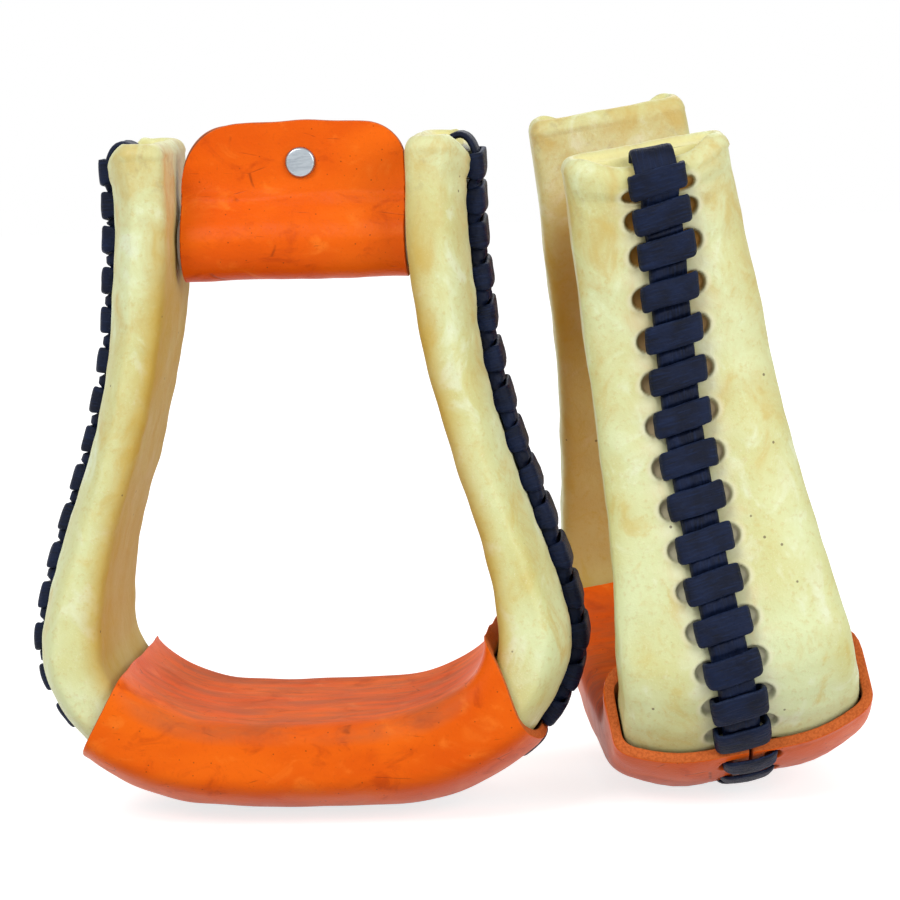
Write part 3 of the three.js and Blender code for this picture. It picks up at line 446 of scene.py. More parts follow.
def lace_path(turns, over, under, strip, rng):
    """Stops of a whip-stitched lace: side, out, length, width, and lean."""
    wrap = RAIL_WRAP if strip else SLEEVE_WRAP
    whole = [(-s, o, w) for s, o, w in wrap[::-1]] + wrap[1:]
    reach, slant = wrap[-1][0], LACE_SLANT / 2
    stops = []
    for turn in turns:
        shift, tilt = rng.normal(0, SHIFT_SPREAD), rng.normal(0, TILT_SPREAD)
        full = LACE_WIDTH + rng.normal(0, WIDTH_SPREAD)
        lean = rng.uniform(*(RAIL_LEAN if strip else SLEEVE_LEAN))
        puff = rng.uniform(*WRAP_PUFF)
        for s, o in reversed(UNDER_TURN):
            stops.append((-s, under + o, turn + slant, HOLE_WIDTH, 0.0))
        for s, o, w in whole:
            share = s / reach
            bow = 1 - share * share
            along = turn - slant * share + shift * bow + tilt * share * bow * 1.5
            stops.append((s, over + o + puff * bow, along, full * w, lean * bow))
        for s, o in UNDER_TURN:
            stops.append((s, under + o, turn - slant, HOLE_WIDTH, 0.0))
    return np.array(stops)


def ribbon(line, stops, thickness):
    """A rounded band through the stops, with its length and width places for the material."""
    side, out, length, width, lean = stops.T
    flat = np.stack([side, out], 1)
    travel = np.gradient(flat, axis=0)
    travel /= np.linalg.norm(travel, axis=1, keepdims=True)
    normal = np.stack([-travel[:, 1], travel[:, 0]], 1)
    swell = np.sqrt(1 - np.abs(BAND_SHARES) ** 9) * (thickness / 2)
    top = np.stack([BAND_SHARES, swell + LACE_CROWN * (1 - BAND_SHARES ** 2)], 1)
    low = np.stack([BAND_SHARES, -swell], 1)[-2:0:-1]
    ring = np.vstack([top, low])
    across = ring[:, 0] * width[:, None] / 2
    lift = ring[:, 1] + ring[:, 0] * lean[:, None]
    where_side = side[:, None] + normal[:, :1] * lift
    where_out = out[:, None] + normal[:, 1:] * lift
    return line.point(length[:, None] + across, where_side, where_out), run_along(flat)[:, None], across


def lace(line, turns, over, under, strip, seed):
    stops = lace_path(turns, over, under, strip, np.random.default_rng(seed))
    grid, run, across = ribbon(line, stops, RAIL_LACE_THICKNESS if strip else LACE_THICKNESS)
    lumps = waves(grid, LACE_LUMP_SIZE, seed) * LACE_LUMP
    solid = Solid()
    numbers = solid.add(grid + normals(grid, True) * lumps[..., None], run=run, across=across,
                        edge=np.abs(across) / (LACE_WIDTH / 2))
    solid.skin(numbers, True)
    solid.close_ends(numbers)
    return solid


# Rawhide covers

COVER_ROWS, LINING_ROWS, LINING_ROOM = 300, 90, 0.3
COVER_RADIUS, COVER_RIDGE, RIDGE_SHARE, COVER_PUFF, SHRINK = 4.6, 4.4, 0.6, 0.25, 0.25
FACE_SHARE = 0.7
COVER_WAVES, CAP_WAVES = ((21, 0.17), (6, 0.09)), ((9, 0.22), (3.5, 0.08))
FACE_SINK, SEAM_SINK, SEAM_REACH = 0.9, 1.0, 11
GATHER_SIDE, GATHER_SPREAD, GATHER_RISE, GATHER_SINK, PUCKER_SHARE = 9.8, 4.4, 0.55, 0.2, 0.8
PIT_DEPTH, RIM_RISE, NOTCH_DEPTH, TROUGH_DEPTH = 1.7, 0.25, 2.6, 2.9
NOTCH_SIDES, TROUGH_SIDES = (9.5, 12.5), (12.5, 15)
DIP_LENGTH = 15
CAP_HEIGHT, CAP_INSET, CAP_DIP, CAP_REACH = 5.2, 3.6, 5.0, 20.6
# Lengths down the rail, heights over its inside and insets of the cap between which the looks change; the
# inside's darker amber is painted shade
TOP_FADE, NECK_FADE, INNER_SHADE_FADE = (4, 26), (20, 150), (6, 45)
INNER_SHADE_HEIGHTS, DISH_INSETS = (0.5, 8.5), (3.7, 5.6)
# Share of the inner face's painted amber shade kept at the top of the rail, and on the cap
INNER_SHADE_AT_TOP, CAP_INNER_SHADE = 0.15, 0.6
BACK_CORNER, FRONT_CORNER = 1.1, 0.5
# Inset, height, and share of the dish's even slope, from the rail's end over the rim to the dish
CAP_LEVELS = ([(CAP_INSET * (1 - math.cos(a)), CAP_HEIGHT * math.sin(a), 0.0)
               for a in np.radians([12, 24, 36, 48, 60, 72, 82, 90])]
              + [(4.1, 5.05, 0.03), (4.7, 4.6, 0.12), (5.4, 3.95, 0.35), (6.2, 3.4, 0.65), (7.1, 3.05, 0.9),
                 (7.9, 2.9, 1.0), (8.7, 2.84, 1.0), (9.4, 2.82, 1.0)])


def rim_dip(out_share, side_share):
    outer = np.maximum(0, out_share - 0.4) / 0.6
    return CAP_DIP * outer ** 2 * (1 - side_share ** 2)


def cover_grid(offset, lengths):
    """Rows from the middle of the dish over the rim and down the rail."""
    numbers = RAIL_LINE.at(lengths)
    side, out = full_ring(*half_section(Station(numbers), offset, COVER_RADIUS - offset,
                                        COVER_RIDGE - offset * RIDGE_SHARE, FINE_SIDES, COVER_PUFF))
    place = Station(numbers[:, None])
    # the fine columns of the outer face follow the seam aside
    face = slice(FACE_START, side.shape[1] - FACE_START + 1)
    ridge = place.half - COVER_RIDGE
    weight = np.clip((ridge - np.abs(side[:, face])) / (ridge - FINE_START), 0, 1)
    side[:, face] += RAIL_LINE.aside(lengths)[:, None] * weight
    out[:, face] = place.crest(side[:, face], offset)
    full = place.thick + place.crown
    dip = rim_dip(out / full, side / place.half) * (1 - smooth(0, DIP_LENGTH, lengths))[:, None]
    top = Station(0.0)
    full_top = top.thick + top.crown
    levels = []
    for inset, rise, slope in reversed(CAP_LEVELS):
        s = side[0] * (top.half - inset) / top.half
        o = inset + out[0] * (full_top - 2 * inset) / full_top
        rim = rim_dip(out[0] / full_top, side[0] / top.half)
        dish = CAP_DIP * out[0] / full_top
        levels.append(top.point(s, o, rise - offset - mix(rim, dish, slope)))
    return np.stack(levels), place.point(side, out, -dip), side, out


def cover_relief(rail, lengths, side, out):
    """Lace holes, the puckers round them, and how far the lacing lifts each place of a cover."""
    station = Station(RAIL_LINE.at(lengths)[:, None])
    across = side - RAIL_LINE.aside(lengths)[:, None]
    length, end = lengths[:, None], RAIL_END[rail]
    face = smooth(station.thick * FACE_SHARE, station.thick, out)
    pit, rim, near = hole_field(length, across, rail_turns(end), RAIL_HOLE)
    pit, rim = pit * face * smooth(0, 2, length), rim * face
    pitch = np.where(length < CLOSE_LENGTH, LACE_TOP_PITCH, LACE_PITCH)
    between = 0.5 - 0.5 * np.cos(2 * math.pi * np.clip(near / pitch, 0, 1))
    laced = smooth(2, 8, length) * (1 - smooth(end - 6, end + 4, length))
    gather = np.exp(-((np.abs(across) - GATHER_SIDE) / GATHER_SPREAD) ** 2) * face * laced
    notch = (1 - smooth(*NOTCH_SIDES, np.abs(across))) * face * smooth(end + 1, end + 4, length)
    lift = gather * (between * GATHER_RISE - GATHER_SINK) + rim * RIM_RISE * laced
    lift -= (FACE_SINK + SEAM_SINK * np.exp(-(across / SEAM_REACH) ** 4)) * face * laced
    lift -= pit * PIT_DEPTH + notch * NOTCH_DEPTH
    return pit, np.maximum(rim, gather * between * PUCKER_SHARE), lift


def rim_rise(rail, cap, side, out, seed):
    """Unevenness of a cap, and the small folded corners of its outer rim, the back one higher."""
    count = len(CAP_LEVELS)
    lumps = unevenness(cap, CAP_WAVES, seed)
    places = (1 if rail == "outside" else -1) * side / Station(0.0).half
    corners = smooth(0.62, 0.86, places) * BACK_CORNER + smooth(0.66, 0.88, -places) * FRONT_CORNER
    corners = corners * smooth(0.55, 0.8, out / CAP_REACH)
    on_rim = np.exp(-((np.arange(count) - (count - 9)) / 2.2) ** 2)[:, None]
    return lumps * np.linspace(0.9, 0.27, count)[:, None] + on_rim * corners


def lining(total):
    """The cover's inner skin, sunk under the lacing."""
    lengths = np.linspace(0, total, LINING_ROWS)
    cap, body, side, out = cover_grid(RAWHIDE + LINING_ROOM, lengths)
    station = Station(RAIL_LINE.at(lengths)[:, None])
    across = np.abs(side - RAIL_LINE.aside(lengths)[:, None])
    face = smooth(station.thick * FACE_SHARE, station.thick, out)
    sink = (1 - smooth(*TROUGH_SIDES, across)) * face * TROUGH_DEPTH
    return np.concatenate([cap[3:], body - station.shift(sink)])


def cover(rail, seed):
    """The rawhide shell of one rail, and the points of its outer skin."""
    total = RAIL_LINE.length_of(COVER_LAST)
    lengths = np.linspace(0, total, COVER_ROWS)
    cap, body, side, out = cover_grid(0.0, lengths)
    station = Station(RAIL_LINE.at(lengths)[:, None])
    pit, pucker, lift = cover_relief(rail, lengths, side, out)
    lumps = unevenness(body, COVER_WAVES, seed)
    sleeved = smooth(RAIL_END[rail] - 12, RAIL_END[rail], lengths)[:, None]
    swell = lumps * (1 - 0.6 * pit) * (1 - sleeved) - SHRINK
    way = normals_from(station.centre(side), body, True)
    body = body + way * swell[..., None] + station.shift(lift)
    cap[..., 2] += rim_rise(rail, cap, side[0], out[0], seed + 2)
    outer = np.concatenate([cap, body])

    # Painted shade: the rail's inner face is coloured darker amber, less so towards the top where more light
    # falls
    painted_inner_shade = mix(INNER_SHADE_AT_TOP, 1, smooth(*INNER_SHADE_FADE, lengths))[:, None]
    inner_face_shade = (1 - smooth(*INNER_SHADE_HEIGHTS, out)) * painted_inner_shade
    on_cap = np.ones((len(cap), side.shape[1]))
    dish = smooth(*DISH_INSETS, [inset for inset, _, _ in reversed(CAP_LEVELS)])[:, None]
    solid = Solid()
    numbers = solid.add(outer,
                        pit=np.concatenate([0 * on_cap, pit]),
                        rim=np.concatenate([0 * on_cap, pucker]),
                        inner=np.concatenate([on_cap * inner_face_shade[0] * CAP_INNER_SHADE, inner_face_shade]),
                        dish=np.concatenate([on_cap * dish, 0 * side]),
                        top=np.concatenate([on_cap[:, :1], 1 - smooth(*TOP_FADE, lengths)[:, None]]),
                        neck=np.concatenate([on_cap[:, :1], 1 - smooth(*NECK_FADE, lengths)[:, None]]))
    solid.skin(numbers, True)
    solid.fold_shut(numbers[0])
    inside = solid.add(lining(total), inner=0.5)
    solid.skin(inside[:, ::-1], True)
    solid.fold_shut(inside[0][::-1])
    solid.between(inside[-1], numbers[-1], True)
    return solid, outer


# Strips over the seams

# How far the fold stands over the dipped rim, on the outside and the inside rail
FOLD_RISE = {"near": (3.2, 3.2), "off": (3.2, 0.4)}
FOLD_SPREAD = 5.4
STRIP_START_ROW, RIM_CREST_ROW = 2, 8
STRIP_FIRST, STRIP_STEP, STRIP_SHORT = 0.3, 0.75, 1.9
STRIP_HALF, FOLD_WIDENING, WIDTH_NOISE = 6.1, 0.7, 0.02
STRIP_HEIGHT, FOLD_HEIGHT, STRIP_BULGE, STRIP_EDGE = 1.5, 2.2, 1.5, 0.75
SLANT_SHARE, FREE_REACH = 0.73, (4.3, 5.3)
RIDGE_TURNS, RIDGE_HEIGHT, STRIP_BOW = (6.5, 11, 17), 0.17, 0.35
STRIP_SHARES = np.array([-1, -0.985, -0.92, -0.78, -0.6, -0.4, -0.2, 0,
                         0.2, 0.4, 0.6, 0.78, 0.92, 0.985, 1])


def smoothed(route, reach):
    """Running mean of a route over its neighbours, up to a reach on each side."""
    padded = np.pad(route, ((reach, reach), (0, 0)), mode="reflect", reflect_type="odd")
    kernel = np.ones(2 * reach + 1) / (2 * reach + 1)
    return np.stack([np.convolve(padded[:, k], kernel, mode="valid") for k in range(3)], 1)


def seam_strip(rail, cover_points, fold_rise, seed):
    """Band over the seam, folded over the rim into the dish, with ridges between the wraps."""
    path = cover_points[STRIP_START_ROW:, cover_points.shape[1] // 2]
    run = run_along(path)
    body = slice(len(CAP_LEVELS) - STRIP_START_ROW, None)
    rim_run = run[body][0]
    row_lengths = np.linspace(0, RAIL_LINE.length_of(COVER_LAST), COVER_ROWS)
    end = np.interp(RAIL_END[rail] - STRIP_SHORT, row_lengths, run[body])
    places = np.arange(STRIP_FIRST, end, STRIP_STEP)
    length = np.where(places < rim_run, places - rim_run, np.interp(places, run[body], row_lengths))
    route = smoothed(np.stack([np.interp(places, run, path[:, k]) for k in range(3)], 1), 3)
    # the fold stands clear of the dipped rim
    crest_run = run[RIM_CREST_ROW - STRIP_START_ROW]
    route[:, 2] += fold_rise * np.exp(-((places - crest_run + 1) / FOLD_SPREAD) ** 2)
    travel = np.gradient(route, axis=0)
    travel /= np.linalg.norm(travel, axis=1, keepdims=True)
    normal = np.stack([-travel[:, 2], 0 * travel[:, 0], travel[:, 0]], 1)

    shares = STRIP_SHARES[None, :]
    swell = np.sqrt(1 - np.abs(shares) ** 8)
    along = length[:, None]
    slanted = along + LACE_SLANT / 2 * shares * SLANT_SHARE
    free = smooth(*FREE_REACH, np.min(np.abs(slanted[..., None] - rail_turns(RAIL_END[rail])), axis=-1))
    rng = np.random.default_rng(seed)
    ridge = sum(np.cos(shares * f + rng.uniform(0, 6)) for f in RIDGE_TURNS) * RIDGE_HEIGHT
    bulge = STRIP_BULGE + ridge * (0.8 + 0.4 * np.sin(along * 0.35 + seed))
    height = STRIP_HEIGHT + SEAM_SINK + FACE_SINK + free * bulge
    height = mix(height, FOLD_HEIGHT, 1 - smooth(-3, 4, along))
    folded = 1 - smooth(-2, 6, length)
    half_width = STRIP_HALF + FOLD_WIDENING * folded + rng.normal(0, WIDTH_NOISE, len(length))
    side = half_width[:, None] * shares
    bow = STRIP_BOW * shares ** 2 * (1 - smooth(-8, 0, along))
    base = (CLEARANCE + 0.15 * folded)[:, None] + STRIP_EDGE

    def face(rise):
        grid = route[:, None, :] + normal[:, None, :] * (base + rise + bow)[..., None]
        grid[..., 1] = route[:, None, 1] + side
        return grid

    top, low = face((height - STRIP_EDGE) * swell), face(-STRIP_EDGE * swell)
    solid = Solid()
    numbers = solid.add(np.concatenate([top, low[:, -2:0:-1]], axis=1), run=places[:, None],
                        across=np.concatenate([side, side[:, -2:0:-1]], 1), edge=0.0)
    solid.skin(numbers, True)
    solid.close_ends(numbers)
    return solid


# Tread sleeve

# Reach and height that each end's cut passes through, and its lean
SLEEVE_END = {"outside": (60.6, 60.0), "inside": (57.6, 48.6)}
END_LEAN = 0.55
# How much sooner the outside end is cut, on its inside and its outside, at the front, middle and back
END_DROP = {"near": ((0.8, 2.0, 3.3), (4.2, 3.2, 3.4)), "off": ((3.6, 3.4, 4.6), (3.6, 3.2, 4.6))}
SLEEVE_PITCH, SLEEVE_MARGIN = 16.5, 9.5
SLEEVE_FIRST, LIMIT_PLACES, SLEEVE_ROWS = 4.4, 1700, 256
SLEEVE_FINE = [FINE_START, 13.0, 12.0, 11.2, 10.6, 10.1, 9.6, 9.0, 8.4, 7.8, 7.0, 6.2, 5.4, 4.4, 3.2, 2.0,
               1.3, 0.8]
# Inner and outer corner radius of the sleeve's outer and inner skin
SLEEVE_RADII = {SLEEVE_OFFSET: (7.2, 5.2), -SLEEVE_ROOM: (4.2, 4.0)}
SLEEVE_PIT_DEPTH, SLEEVE_RIM_RISE, SLEEVE_EDGE_BULGE = 2.3, 0.2, 0.35
SLEEVE_WAVES, END_WAVES = ((26, 0.28), (9, 0.07)), ((0.45, 9.0, 0), (0.3, 4.1, 1))
# Station numbers and heights between which the worn tread, with its painted sheen, fades, and shares of the
# section for the face
TREAD_NUMBERS, TREAD_HEIGHTS, SLEEVE_FACE = (8.2, 10.2), (-1.0, 4.0), (0.75, 1.05)


def past_end(x, z, end):
    reach, height = SLEEVE_END[end]
    return (np.abs(x) - reach) + (z - height) * END_LEAN


def sleeve_end_number(end):
    """Station number at which the sleeve's line meets the cut of an end."""
    numbers = SLEEVE_LINE.number if end == "outside" else SLEEVE_LINE.number[::-1]
    station = Station(numbers)
    points = station.point(0.0, station.crest(0.0, SLEEVE_LINE.offset))
    return numbers[np.argmax(past_end(points[:, 0], points[:, 2], end) < 0)]


def sleeve_turns():
    first, last = (SLEEVE_LINE.length_of(sleeve_end_number(end)) for end in ("outside", "inside"))
    room = last - first - 2 * SLEEVE_MARGIN
    count = round(room / SLEEVE_PITCH)
    return first + SLEEVE_MARGIN + room * np.arange(count + 1) / count


def sleeve_section(station, offset):
    side, out = half_section(station, offset, *SLEEVE_RADII[offset], SLEEVE_FINE)
    side = np.concatenate([-side[..., :0:-1], side], axis=-1)
    out = np.concatenate([out[..., :0:-1], out], axis=-1)
    return side, out


def sleeve_limits(offset, prefix):
    """First and last station number of each column of the sleeve, where its wavy ends are cut."""
    numbers = np.linspace(SLEEVE_FIRST, LAST - SLEEVE_FIRST, LIMIT_PLACES)
    side, out = sleeve_section(Station(numbers), offset)
    place = Station(numbers[:, None])
    x, y, z = np.moveaxis(place.point(side, out), -1, 0)
    wave = ripple(y, END_WAVES)
    depths = [-TREAD_DEPTH / 2, 0, TREAD_DEPTH / 2]
    inner, outer = (np.interp(y, depths, drops) for drops in END_DROP[prefix])
    drop = {"outside": mix(inner, outer, smooth(0, place.thick, out)), "inside": 0}
    limits = []
    for end, order in (("outside", slice(None)), ("inside", slice(None, None, -1))):
        past = (past_end(x, z, end) + wave * 0.5 + drop[end])[order]
        places = numbers[order]
        own_half = (places < LAST / 2) == (end == "outside")
        first = np.argmax((past < 0) & own_half[:, None], axis=0)
        columns = np.arange(len(first))
        before, after = past[first - 1, columns], past[first, columns]
        limits.append(mix(places[first - 1], places[first], before / (before - after)))
    return limits


def sleeve_skin(offset, prefix, shares):
    """Stations, side and out of each point of a skin: each column runs between its own limits."""
    low, high = sleeve_limits(offset, prefix)
    place = Station(mix(low, high, shares[:, None]))
    columns = np.arange(len(low))
    side, out = (values[:, columns, columns] for values in sleeve_section(place, offset))
    return place, side, out


def tread_sleeve(prefix, seed):
    shares = with_close_ends(SLEEVE_ROWS, (0.25, 0.6))
    place, side, out = sleeve_skin(SLEEVE_OFFSET, prefix, shares)
    inner_place, inner_side, inner_out = sleeve_skin(-SLEEVE_ROOM, prefix, shares)
    outer, inner = place.point(side, out), inner_place.point(inner_side, inner_out)
    face = smooth(*(place.thick * share for share in SLEEVE_FACE), out)
    pit, rim, _ = hole_field(SLEEVE_LINE.length_of(place.number), side, sleeve_turns(), SLEEVE_HOLE)
    pit, rim = pit * face, rim * face
    on_tread = smooth(*TREAD_NUMBERS, np.minimum(place.number, LAST - place.number))
    tread = (1 - smooth(*TREAD_HEIGHTS, out)) * on_tread
    away = np.minimum(smooth(0, 0.02, shares), smooth(0, 0.02, 1 - shares))[:, None]
    lumps = unevenness(outer, SLEEVE_WAVES, seed)
    way = normals_from(place.centre(side), outer, False)
    outer = outer + way * (lumps * away + rim * SLEEVE_RIM_RISE - pit * SLEEVE_PIT_DEPTH)[..., None]
    inner = inner + way * (np.minimum(lumps, 0.2) * away)[..., None]
    solid = Solid()
    add_sheet(solid, outer, inner, SLEEVE_EDGE_BULGE, {"pit": pit, "tread": tread})
    return solid


# Wrap round the neck roller

BOLT_HEIGHT, ROLLER_RADIUS = 184.7, 8.0
WRAP_WIDTH, WRAP_TOP, WRAP_ARCH, PATH_TOP = 72.2, 223.4, 1.4, 236
LEFT_RADIUS, RIGHT_RADIUS, BACK_SHIFT = 19.0, 12.0, 1.6
RIVET_X, RIVET_Z = 2.8, 210.4
PLY = CLEARANCE / 2 + LEATHER
WRAP_ROWS, WRAP_COLUMNS, PATH_PLACES, COLUMN_BEND, EDGE_COLUMN = 210, 71, 1400, 0.94 * math.pi / 2, 0.22
# The front ply's way down to the roller: height, and how far it has left its flat place
PLY_WAY = [(PATH_TOP, 0), (228, 0), (220, 0), (212, 0), (205, 0.05), (200.6, 0.7), (196.4, 2.3), (192.9, 4.8),
           (189.9, 7.0)]
CREASE_HEIGHT, CREASE_DEPTH, CREASE_SPREAD, WRAP_EDGE_BULGE = 199.5, 0.28, 1.6, 0.3
WRAP_WAVES, TOP_WAVES = ((15, 0.14), (5, 0.04)), ((0.18, 5.3, 0.6), (0.12, 2.7, 0))
SWAY_SIZE, SWAY, SWAY_HEIGHTS = 24, 0.22, (200, 208)


def ply_top(x, shift, left_radius):
    """Height of a ply's upper edge, with its two rounded corners."""
    half = WRAP_WIDTH / 2
    right = np.maximum(0, x - (half - RIGHT_RADIUS)) / RIGHT_RADIUS
    left = np.maximum(0, -x - (half - left_radius)) / left_radius
    drop = RIGHT_RADIUS * (1 - np.sqrt(1 - np.minimum(right, 1) ** 2))
    drop += left_radius * (1 - np.sqrt(1 - np.minimum(left, 1) ** 2))
    return WRAP_TOP - shift * 0.3 - WRAP_ARCH * (x / half) ** 2 - drop + ripple(x, TOP_WAVES)


def wrap_path():
    """Middle of the folded strap, from high on the front ply round the roller and up the back."""
    flat = CLEARANCE / 2 + LEATHER / 2
    radius = ROLLER_RADIUS + CLEARANCE * 2 + LEATHER / 2
    down = [(-flat - away, height) for height, away in PLY_WAY]
    arc = [(-radius * math.cos(a), BOLT_HEIGHT - radius * math.sin(a))
           for a in np.radians(np.linspace(-10, 90, 9))]
    front = np.array(down + arc)
    points = np.vstack([front, front[-2::-1] * [-1, 1]])
    fine, _ = curve(points, np.linspace(0, len(points) - 1, PATH_PLACES))
    return fine, run_along(fine)


def neck_wrap(seed):
    fine, run = wrap_path()
    half = WRAP_WIDTH / 2
    x = half * np.sin(np.linspace(-1, 1, WRAP_COLUMNS) * COLUMN_BEND) / math.sin(COLUMN_BEND)
    x = np.concatenate([[-half, EDGE_COLUMN - half], x[1:-1], [half - EDGE_COLUMN, half]])
    start = PATH_TOP - ply_top(x, 0, LEFT_RADIUS)
    end = run[-1] - (PATH_TOP - ply_top(x, BACK_SHIFT, LEFT_RADIUS - 2 * BACK_SHIFT))
    place = mix(start, end, with_close_ends(WRAP_ROWS, (0.3,))[:, None])
    slope = np.gradient(fine, axis=0)
    slope /= np.linalg.norm(slope, axis=1, keepdims=True)
    y, z, way_y, way_z = (np.interp(place, run, values)
                          for values in (fine[:, 0], fine[:, 1], slope[:, 1], -slope[:, 0]))
    way = np.stack([0 * y, way_y, way_z], -1) / np.hypot(way_y, way_z)[..., None]
    wide = np.broadcast_to(x, y.shape)
    middle = np.stack([wide, y, z], -1)
    sway = waves(middle * [1, 0, 1], SWAY_SIZE, seed) * SWAY * smooth(*SWAY_HEIGHTS, z)
    sway *= 1 - np.exp(-((wide - RIVET_X) ** 2 + (z - RIVET_Z) ** 2) / 60)
    swell = unevenness(middle, WRAP_WAVES, seed + 4)
    crease_line = CREASE_HEIGHT + 0.03 * wide + 0.8 * np.sin(wide / 8)
    crease = CREASE_DEPTH * np.exp(-((z - crease_line) / CREASE_SPREAD) ** 2) * (y < 0)
    outer = middle + way * (LEATHER / 2 + swell - crease)[..., None]
    inner = middle - way * (LEATHER / 2)
    outer[..., 1] += sway
    inner[..., 1] += sway
    solid = Solid()
    add_sheet(solid, outer, inner, WRAP_EDGE_BULGE, {})
    return solid


# Turned rivet

# Radius and height of the corners: the head with its post, and the ring that the post is peened over
HEAD_PROFILE = [(0.05, 1.42), (2.0, 1.42), (3.9, 1.36), (4.45, 1.2), (4.7, 0.85), (4.9, 0.55), (4.9, 0.05),
                (4.6, 0.0), (2.1, 0.0), (2.1, -6.9), (1.9, -7.9), (0.05, -7.9)]
CAP_PROFILE = [(2.35, 0.0), (3.2, 0.0), (4.45, 0.05), (4.5, -0.3), (4.45, -0.7), (3.8, -1.15), (2.9, -1.3),
               (2.35, -1.25)]


def rounded(profile):
    """Rounds the corners of a profile by cutting them twice."""
    points = [np.array(p, float) for p in profile]
    for _ in range(2):
        cut = [points[0]]
        for a, b in zip(points, points[1:]):
            cut += [a * 0.75 + b * 0.25, a * 0.25 + b * 0.75]
        points = cut + [points[-1]]
    return points


def turned(profile, sides, back, bored):
    """A turned piece at the rivet's place, its height along -Y: solid, or a ring with a bore."""
    angle = np.linspace(0, 2 * math.pi, sides, endpoint=False)
    radius, height = np.array(rounded(profile)).T[..., None]
    grid = np.stack(np.broadcast_arrays(radius * np.cos(angle), -height, radius * np.sin(angle)), -1)
    solid = Solid()
    numbers = solid.add(grid + np.array((RIVET_X, back, RIVET_Z)), radius=radius)
    solid.skin(numbers, True)
    if bored:
        solid.between(numbers[-1], numbers[0], True)
    else:
        solid.close_ends(numbers)
    return solid


# Materials


def srgb(r, g, b):
    values = [c / 255 for c in (r, g, b)]
    return tuple(c / 12.92 if c <= 0.04045 else ((c + 0.055) / 1.055) ** 2.4 for c in values) + (1.0,)


class Look:
    """One node-based material."""

    def __init__(self, name):
        self.material = bpy.data.materials.new(name)
        self.material.use_nodes = True
        self.tree = self.material.node_tree
        self.shader = self.tree.nodes["Principled BSDF"]
        self.coords = self.tree.nodes.new("ShaderNodeTexCoord").outputs["Object"]

    def put(self, socket, value):
        if isinstance(value, bpy.types.NodeSocket):
            self.tree.links.new(value, socket)
        else:
            socket.default_value = value

    def node(self, kind, inputs, **props):
        made = self.tree.nodes.new(kind)
        for key, value in props.items():
            setattr(made, key, value)
        for key, value in inputs.items():
            self.put(made.inputs[key], value)
        return made

    def value(self, name):
        """A value that the mesh carries."""
        return self.node("ShaderNodeAttribute", {}, attribute_name=name).outputs["Fac"]

    def vector(self, scale):
        """Object coordinates in millimetres times one scale or three, or a vector as it is."""
        if isinstance(scale, bpy.types.NodeSocket):
            return scale
        scales = scale if isinstance(scale, tuple) else (scale,) * 3
        return self.node("ShaderNodeMapping", {"Vector": self.coords,
                                               "Scale": tuple(s / MM for s in scales)}).outputs[0]

    def flow(self, along, across):
        """Coordinates that run with a lace: its length, then its width."""
        inputs = {"X": self.times(self.value("run"), along), "Y": self.times(self.value("across"), across)}
        return self.node("ShaderNodeCombineXYZ", inputs).outputs[0]

    def noise(self, scale, detail=3.0, rough=0.55, distortion=0.0):
        inputs = {"Vector": self.vector(scale), "Scale": 1.0, "Detail": detail, "Roughness": rough,
                  "Distortion": distortion}
        return self.node("ShaderNodeTexNoise", inputs).outputs["Fac"]

    def cells(self, scale, feature="F1"):
        inputs = {"Vector": self.vector(scale), "Scale": 1.0}
        return self.node("ShaderNodeTexVoronoi", inputs, feature=feature).outputs["Distance"]

    def math(self, operation, a, b=0.0):
        return self.node("ShaderNodeMath", {0: a, 1: b}, operation=operation).outputs[0]

    def times(self, a, b):
        return self.math("MULTIPLY", a, b)

    def plus(self, a, b):
        return self.math("ADD", a, b)

    def step(self, value, low, high, amount=1.0):
        """A smooth step of a value between two levels, from 0 to an amount."""
        inputs = {"Value": value, "From Min": low, "From Max": high, "To Max": amount}
        return self.node("ShaderNodeMapRange", inputs, interpolation_type="SMOOTHSTEP").outputs["Result"]

    def blend(self, share, a, b):
        made = self.tree.nodes.new("ShaderNodeMix")
        made.data_type = "RGBA"
        for key, value in (("Factor", share), ("A", a), ("B", b)):
            self.put(made.inputs[key], value)
        return made.outputs["Result"]

    def tint(self, color, share, *rgb):
        """A colour with a share of another laid over it."""
        return self.blend(share, color, srgb(*rgb))

    def bump(self, height, strength, distance, under=None):
        inputs = {"Height": height, "Strength": strength, "Distance": distance}
        if under is not None:
            inputs["Normal"] = under
        return self.node("ShaderNodeBump", inputs).outputs["Normal"]

    def finish(self, color, rough, normal, **constants):
        for key, value in (("Base Color", color), ("Roughness", rough), ("Normal", normal)):
            self.put(self.shader.inputs[key], value)
        for key, value in constants.items():
            self.shader.inputs[key.replace("_", " ")].default_value = value
        return self.material


